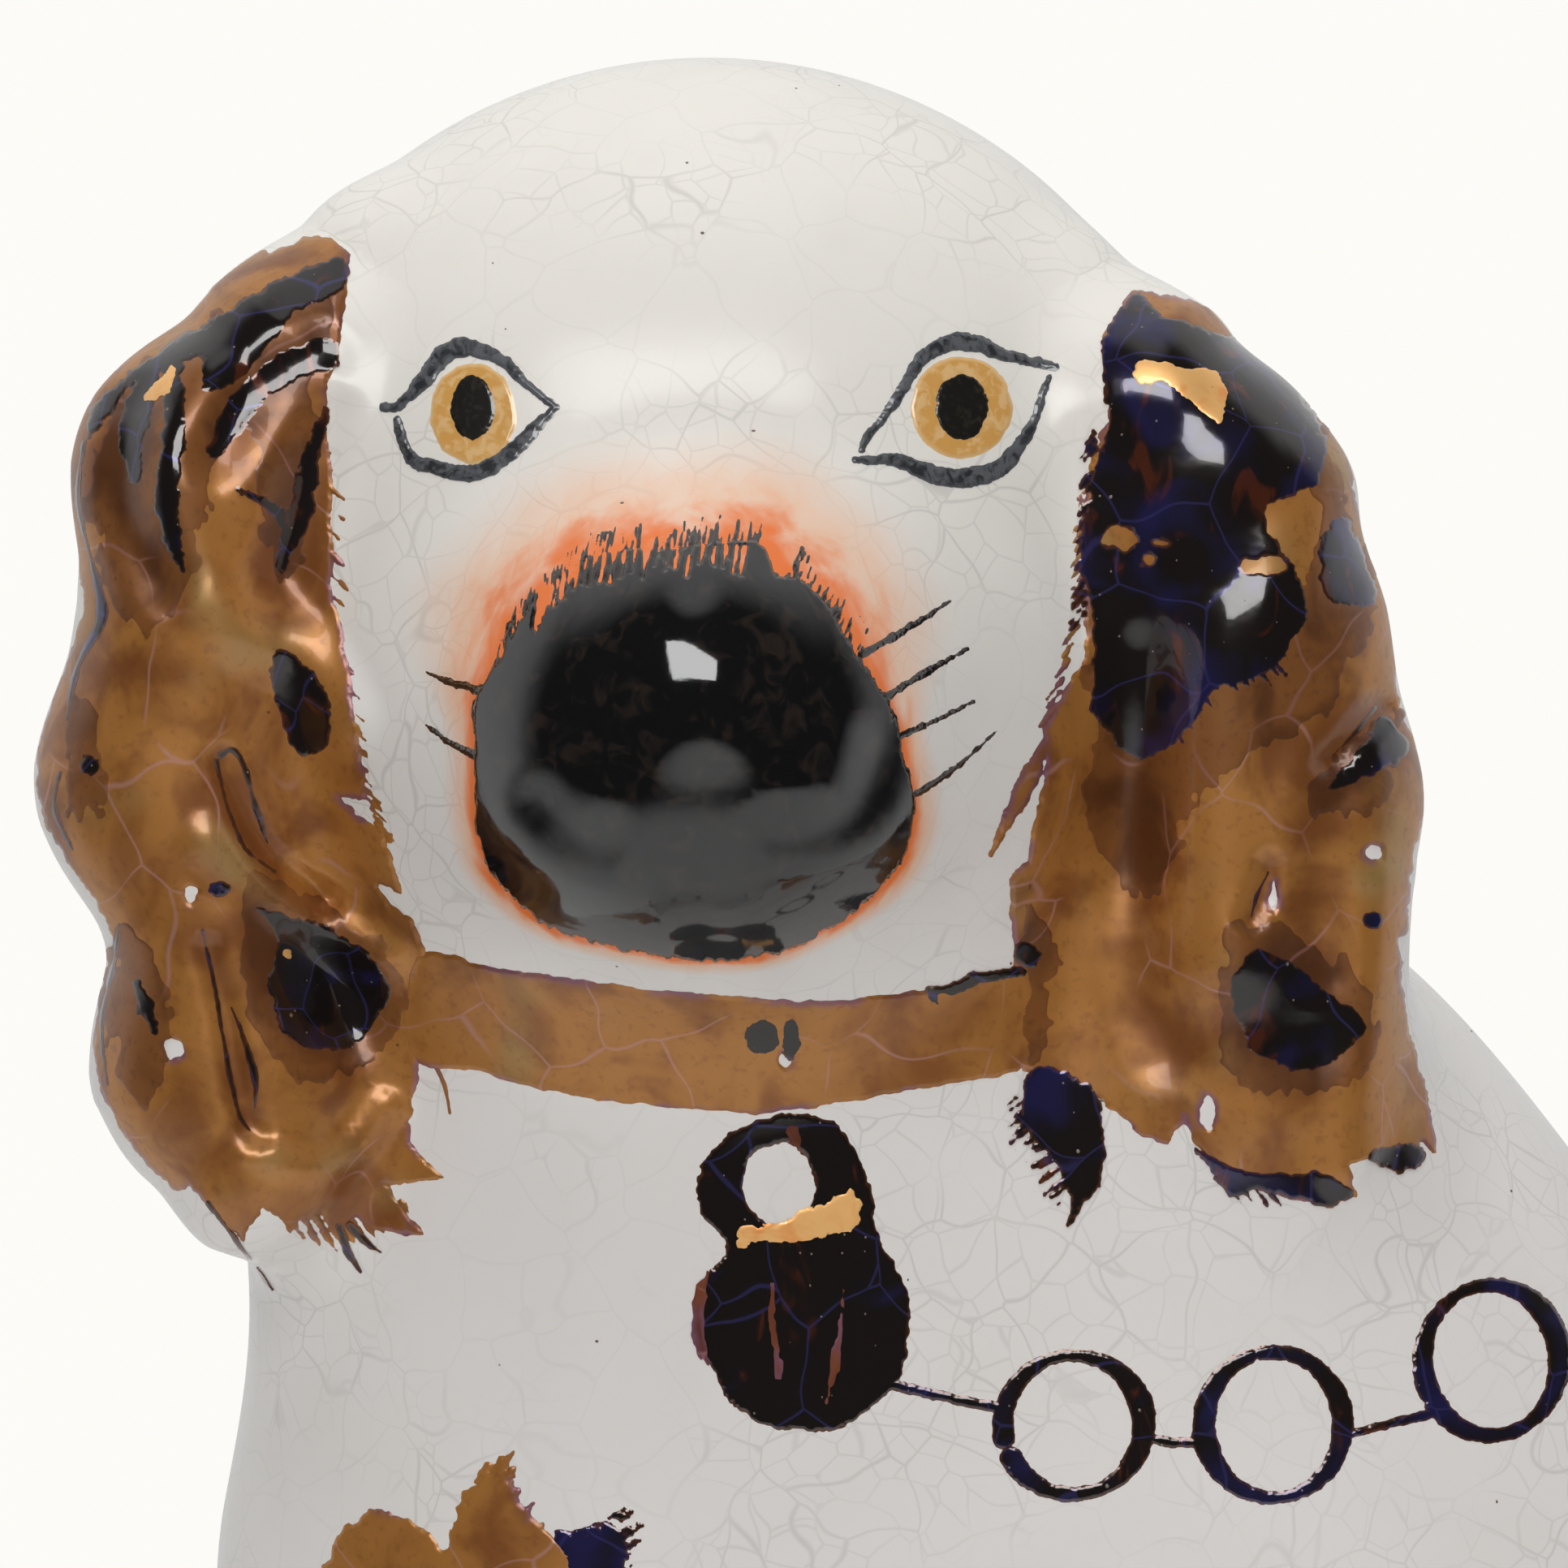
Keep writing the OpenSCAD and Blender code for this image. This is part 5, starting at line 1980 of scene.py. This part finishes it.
@dataclass(frozen=True)
class Collar:
    """The lustre collar with its padlock and the chain across the flank.

    Attributes:
        band: The collar's edge.
        lock: The padlock's edge.
        hole: The opening under its shackle.
    """

    band: tuple[Mark, ...] = (
        (-26.5, 178), (-20, 177), (-13.5, 176), (-6, 175), (0.5, 174.5), (7.5, 174), (13, 174.5),
        (20, 175.5), (25.5, 176.5), (26, 169), (18.5, 167), (13, 166), (7.5, 165), (2.5, 164.5), (-4, 165),
        (-9.5, 165.5), (-15.5, 166.5), (-21, 168), (-27, 169.5),
    )
    lock: tuple[Mark, ...] = (
        (0, 153), (-1.5, 151), (-2.5, 148.5), (-2.5, 146), (-1.5, 143), (0.5, 140), (3, 138), (6, 137.5),
        (8.5, 137.5), (11, 138.5), (13, 140), (15, 142.5), (15.5, 145.5), (15.5, 148.5), (14.5, 151.5),
        (13, 154), (12.5, 156.5), (12, 159), (11, 161.5), (9.5, 163.5), (6, 164.5), (2.5, 164), (0, 162.5),
        (-1.5, 161), (-2.5, 158.5), (-2, 156),
    )
    hole: Patch = dot((4.5, 158.5), 3.0, 3.5)

    def chain(self) -> tuple[Shape, ...]:
        """Rings and bars of the chain, from the padlock over the flank."""
        heavy = (1.0, 0.7, 0.6, 0.95, 1.1, 0.7, 0.5, 0.8, 1.0)
        light = (0.6, 0.9, 1.1, 0.7, 0.5, 0.8, 1.0, 0.7, 0.6)
        return (
            Stroke(((14, 141.5), (18, 140.5), (23, 139.5)), (0.5, 0.45, 0.5)),
            ring((29.5, 138), 6.0, 5.9, heavy, 0.55, 0.95, 10.0),
            Stroke(((35.5, 137), (38, 136.5), (41, 136.5)), (0.4, 0.45, 0.4)),
            ring((46.5, 138), 5.9, 6.2, light, 0.3, 0.98, 0.0),
            Stroke(((52.5, 137), (56, 138), (60, 139)), (0.35, 0.4, 0.45)),
            ring((65, 143.5), 5.8, 6.4, heavy, 0.6, 0.97, 0.0),
            Stroke(((70.5, 143), (73.5, 142.5), (76, 142)), (0.4, 0.4, 0.4)),
            ring((79.5, 140.5), 3.7, 5.6, light, 0.4, 0.97, -10.0),
        )

    def paint(self, brush: Brush) -> None:
        """Lays the collar, then what hangs on it."""
        tan, gold = Lustre(), PaintedHighlightGold()
        # The padlock and chain are real lustre painting; their near-black is painted reflection of the tent's
        # dark gap.
        dark, blue = PaintedShadeAndReflectionLustre("padlock_lustre", blueness=0.0), PaintedShadeAndReflectionLustre("chain_lustre", blueness=0.5)
        rust = Lustre("rust_lustre", (0.20, 0.05, 0.018), (0.10, 0.02, 0.008), (0.28, 0.10, 0.04))
        chip = dot((5, 169), 0.5, 0.6)
        brush.lay(Coat("collar_band", (Patch(self.band),), (chip,), 0.14, 0.02, 0.14), tan, Slot.LUSTRE)
        marks = (
            dot((3, 171), 1.5, 1.7),
            dot((5.5, 171), 0.9, 1.9),
            Stroke(((17, 175), (19, 175), (21.5, 176), (25, 176.5)), (0.2, 0.7, 0.45, 0.6)),
            Stroke(((17.5, 174.5), (18, 173.5)), (0.5, 0.2)),
        )
        brush.lay(Coat("collar_marks", marks, (), 0.07, 0.12, 0.22, (0.8, 0.8), 0.2, 52), dark, Slot.LUSTRE)
        stray = (Stroke(((-25, 169), (-24, 167), (-23.5, 164.5)), (0.14, 0.24, 0.1)),)
        brush.lay(Coat("collar_stray_stroke", stray, (), 0.08, 0.0, 0.06, fine=0.18), tan, Slot.LUSTRE)
        lock = Coat("padlock", (Patch(self.lock),), (self.hole,), 0.12, 0.0, 0.22, (0.9, 0.9), 0.2, 53)
        brush.lay(lock, dark, Slot.LUSTRE)
        side = (
            Stroke(((-1.5, 151), (-2.5, 147.5), (-1.5, 143)), (0.2, 0.7, 0.2)),
            Stroke(((4, 150), (4, 146), (4.5, 142)), (0.3, 0.4, 0.25)),
            Stroke(((10, 150.5), (9.5, 145), (8.5, 140)), (0.15, 0.4, 0.5)),
            Stroke(((5.5, 163), (6, 162)), (0.6, 0.3)),
        )
        brush.lay(Coat("padlock_streaks", side, (), 0.05, 0.10, 0.3, (0.7, 1.6), 0.2, 54), rust, Slot.LUSTRE)
        # A band of painted highlight across the padlock.
        band = (Patch(((1, 155), (3.5, 155), (6, 156), (8.5, 157), (11, 158), (11.5, 155), (8.5, 154),
                       (6, 153.5), (3, 153.5), (1, 153))),)
        brush.lay(Coat("padlock_band", band, (), 0.06, 0.10, 0.3, (0.7, 0.7), 0.2, 55), gold, Slot.LUSTRE)
        brush.lay(Coat("chain", self.chain(), (), 0.10, 0.0, 0.09, (0.5, 0.5), 0.2, 56), blue, Slot.LUSTRE)


@dataclass(frozen=True)
class CoatMarkings:
    """Lustre patches on the chest, the haunch and the legs, with brushed ends, and the painted claws."""

    def paint(self, brush: Brush) -> None:
        """Lays the patches, then the claws."""
        tan, dark = Lustre(), PaintedShadeAndReflectionLustre("coat_dark_lustre", blueness=0.5)
        chest = (
            Patch(((-35, 118), (-35, 124), (-33, 128.5), (-30.5, 131), (-28, 130.5), (-26, 129.5),
                   (-24, 127.5), (-22.5, 131), (-21, 133.5), (-19, 135), (-18, 132), (-15.5, 129), (-13, 127),
                   (-13.5, 120), (-19, 113), (-28, 111)), curved=False),
            *bristles(((-22.5, 131), (-21, 133.5), (-19, 135), (-18, 132), (-15, 129)),
                      (0.9, 1.1), 10, 0.3, 61),
        )
        brush.lay(Coat("chest_lustre", chest, (), 0.14, 0.0, 0.3, (0.9, 0.9), 0.3, 62), tan, Slot.LUSTRE)
        # A real lustre stroke, painted near-black as painted reflection.
        tuft = (
            Patch(((-14.5, 129), (-12, 128.5), (-10, 130), (-8.5, 127), (-10, 122), (-13, 119), (-14, 124))),
            *bristles(((-12, 129), (-10, 129.5), (-9, 126), (-10, 121)), (2.6, 1.6), 16, 0.32, 63),
        )
        brush.lay(Coat("chest_tuft", tuft, (), 0.10, 0.02, 0.3, (0.8, 0.8), 0.26, 64), dark, Slot.LUSTRE)
        haunch = (
            Patch(((60, 92), (70, 96), (80, 92), (86, 82), (84, 70), (74, 64), (64, 70), (58, 80))),
            *bristles(((60, 90), (70, 96), (80, 92), (86, 82), (84, 71), (74, 64), (64, 70)),
                      (2.2, 1.4), 40, 0.5, 65),
            Patch(((20, 96), (27, 99), (33, 94), (31, 86), (24, 84), (18, 88))),
            *bristles(((20, 95), (27, 99), (33, 94), (31, 86), (24, 84)), (2.0, 1.2), 24, 0.45, 66),
            Patch(((40, 50), (47, 52), (50, 45), (45, 39), (38, 43))),
            Patch(((-31, 78), (-25, 82), (-20, 76), (-22, 66), (-28, 62), (-32, 69))),
            *bristles(((-31, 76), (-25, 82), (-20, 76), (-22, 66)), (1.6, 1.6), 18, 0.4, 67),
        )
        brush.lay(Coat("flank_lustre", haunch, (), 0.14, 0.0, 0.5, (1.4, 1.4), 0.45, 68), tan, Slot.LUSTRE)
        claws = Coat("claws", self.claws(brush), (), 0.09, 0.0, 0.12, (0.8, 0.8), 0.3, 69)
        brush.lay(claws, Enamel("brushed_black"), Slot.BLACK)

    @staticmethod
    def claws(brush: Brush) -> tuple[Stroke, ...]:
        """Short dark strokes beside the toes."""
        form, strokes = brush.form, []
        back_height, tip_height, past_toe = 8.8, 4.6, 3.6
        for (x, y, *_), reach in (
            (form.near_leg[-1], FORE_TOE_REACH),
            (form.far_leg[-1], FORE_TOE_REACH),
            (form.hind_foot[-1], HIND_TOE_REACH),
        ):
            for side in (-2, -1, 0, 1):
                across = y + side * TOE_SPACING
                back, tip = (x - 0.7 * reach, across, back_height), (x - reach - past_toe, across, tip_height)
                a, b = brush.sight.drawn(np.array((back, tip)))
                strokes.append(Stroke((tuple(a), tuple((a + b) / 2.0), tuple(b)), (0.25, 0.5, 0.25)))
        return tuple(strokes)


# The studio.


@dataclass(frozen=True)
class Softbox:
    """One lamp behind a square of white cloth.

    Attributes:
        name: The lamp's name.
        turn: Where it stands round the head, in degrees from the front towards the right.
        elevation: How high above the head's level, in degrees.
        distance: How far from the head, in metres.
        across: Its width.
        up: Its height.
        power: Its power in watts.
        mirrored: Whether it shows in the gloss.
        lights: Whether it lights what isn't glossy.
    """

    name: str
    turn: float
    elevation: float
    distance: float
    across: float
    up: float
    power: float
    mirrored: bool = True
    lights: bool = True

    def place(self, head: Vector) -> None:
        """Stands the lamp up, turned towards the head."""
        lamp = bpy.data.lights.new(self.name, "AREA")
        lamp.shape = "RECTANGLE"
        lamp.size, lamp.size_y = self.across, self.up
        lamp.energy = self.power
        stand = put_in_scene(self.name, lamp)
        turn, rise = math.radians(self.turn), math.radians(self.elevation)
        away = Vector((math.sin(turn) * math.cos(rise), -math.cos(turn) * math.cos(rise), math.sin(rise)))
        stand.location = head + away * self.distance
        stand.rotation_euler = (-away).to_track_quat("-Z", "Y").to_euler()
        stand.visible_glossy = self.mirrored
        stand.visible_diffuse = self.lights


@dataclass(frozen=True)
class Studio:
    """A white tent with a dark gap behind the camera, a pale table and soft lamps.

    Attributes:
        placement: Carries set-out places into the frame.
        table_radius: The table's radius, in metres.
        field: Width of the view where it crosses the drawing plane, in millimetres.
    """

    placement: Placement
    table_radius: float = 1.0
    field: float = 133.3
    lamps: tuple[Softbox, ...] = (
        Softbox("front_window", -6.0, 34.0, 0.9, 0.76, 0.32, 2.3),
        Softbox("window_gleam", -6.0, 34.0, 0.89, 0.76, 0.32, 3.6, lights=False),
        Softbox("top_window", -40.0, 84.0, 0.8, 0.90, 0.46, 3.5, mirrored=False),
        Softbox("bounce", 0.0, -8.0, 0.9, 0.9, 0.5, 2.9, mirrored=False),
        Softbox("left_fill", -100.0, 15.0, 1.1, 0.6, 0.8, 1.2, mirrored=False),
        Softbox("right_fill", 100.0, 15.0, 1.1, 0.6, 0.8, 1.2, mirrored=False),
    )

    def table(self) -> None:
        """Makes the table."""
        corners = 96
        angles = [2.0 * math.pi * i / corners for i in range(corners)]
        mesh = bpy.data.meshes.new("table_top")
        rim = [(self.table_radius * math.cos(a), self.table_radius * math.sin(a), 0.0) for a in angles]
        mesh.from_pydata(rim, [], [tuple(range(corners))])
        mesh.materials.append(TableTop().material())
        put_in_scene("table_top", mesh)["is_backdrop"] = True

    def tent(self) -> None:
        """Lights the scene from a white tent, and shows plain white behind the figure."""
        world = bpy.data.worlds.new("tent")
        bpy.context.scene.world = world
        world.use_nodes = True
        tree = world.node_tree
        tree.nodes.clear()
        way = tree.nodes.new("ShaderNodeTexCoord")
        split = tree.nodes.new("ShaderNodeSeparateXYZ")
        tree.links.new(way.outputs["Generated"], split.inputs[0])
        front = -1.0 * Wire(tree, split.outputs["Y"])
        height = Wire(tree, split.outputs["Z"])
        gap = front.above(-0.3, 0.1) * height.below(0.92, 1.0)
        white, dark = 0.85, 0.03
        inside = Wire(tree, tree.nodes.new("ShaderNodeBackground").outputs[0])
        strength = white - gap * (white - dark)
        tree.links.new(strength.socket, inside.socket.node.inputs["Strength"])
        behind = tree.nodes.new("ShaderNodeBackground")
        behind.inputs["Color"].default_value = (0.98, 0.965, 0.93, 1.0)
        seen = tree.nodes.new("ShaderNodeLightPath")
        either = tree.nodes.new("ShaderNodeMixShader")
        tree.links.new(seen.outputs["Is Camera Ray"], either.inputs[0])
        tree.links.new(inside.socket, either.inputs[1])
        tree.links.new(behind.outputs[0], either.inputs[2])
        result = tree.nodes.new("ShaderNodeOutputWorld")
        tree.links.new(either.outputs[0], result.inputs["Surface"])

    def camera(self) -> None:
        """Stands the camera at the eye from which the decoration is drawn, with plain film."""
        camera = bpy.data.cameras.new("camera")
        camera.sensor_width = 36.0
        camera.lens = camera.sensor_width * SIGHT.distance / self.field
        stand = put_in_scene("camera", camera)
        eye, aim = self.placement.placed(np.array((SIGHT.eye(), SIGHT.middle)))
        stand.location = eye
        stand.rotation_euler = Vector(aim - eye).to_track_quat("-Z", "Y").to_euler()
        bpy.context.scene.camera = stand
        bpy.context.scene.view_settings.view_transform = "Standard"

    def build(self) -> None:
        """Makes the table, the lamps, the tent and the camera."""
        self.table()
        self.tent()
        head = Vector(self.placement.placed(np.array([(0.0, 0.0, 205.0)]))[0])
        for lamp in self.lamps:
            lamp.place(head)
        self.camera()


def main() -> None:
    """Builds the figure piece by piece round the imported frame."""
    logging.basicConfig(level=logging.INFO, format="%(name)s: %(message)s")
    cad_box = [list(corner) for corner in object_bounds()]
    placement = Placement(*(tuple(corner) for corner in cad_box))
    Studio(placement).build()
    form, clay, muzzle = Form(), Clay(placement), Muzzle()
    white = WhiteGlaze()

    def blush(points: Array) -> Array:
        """Strength of the muzzle's blush at places on the figure's front."""
        return muzzle.blush(SIGHT.drawn(points)) * (points[:, 1] < -14.0)

    skin = Modelling(form, clay).build(white, Lustre(), blush)
    BareClay().dress()
    brush = Brush(skin, clay, form)
    for painted in (muzzle, LEFT_EYE, RIGHT_EYE, LEFT_EAR_PAINT, RIGHT_EAR_PAINT, Collar(), CoatMarkings()):
        painted.paint(brush)
    grit = Enamel("kiln_grit", (0.03, 0.02, 0.014), (0.16, 0.10, 0.06), 1.0, 0.2, 0.1, 0.5)
    KilnGrit().scatter(bpy.data.objects["front_half_clay"], grit)
    KilnGrit(seed=8).scatter(bpy.data.objects["back_half_clay"], grit)


if __name__ == "__main__":
    main()
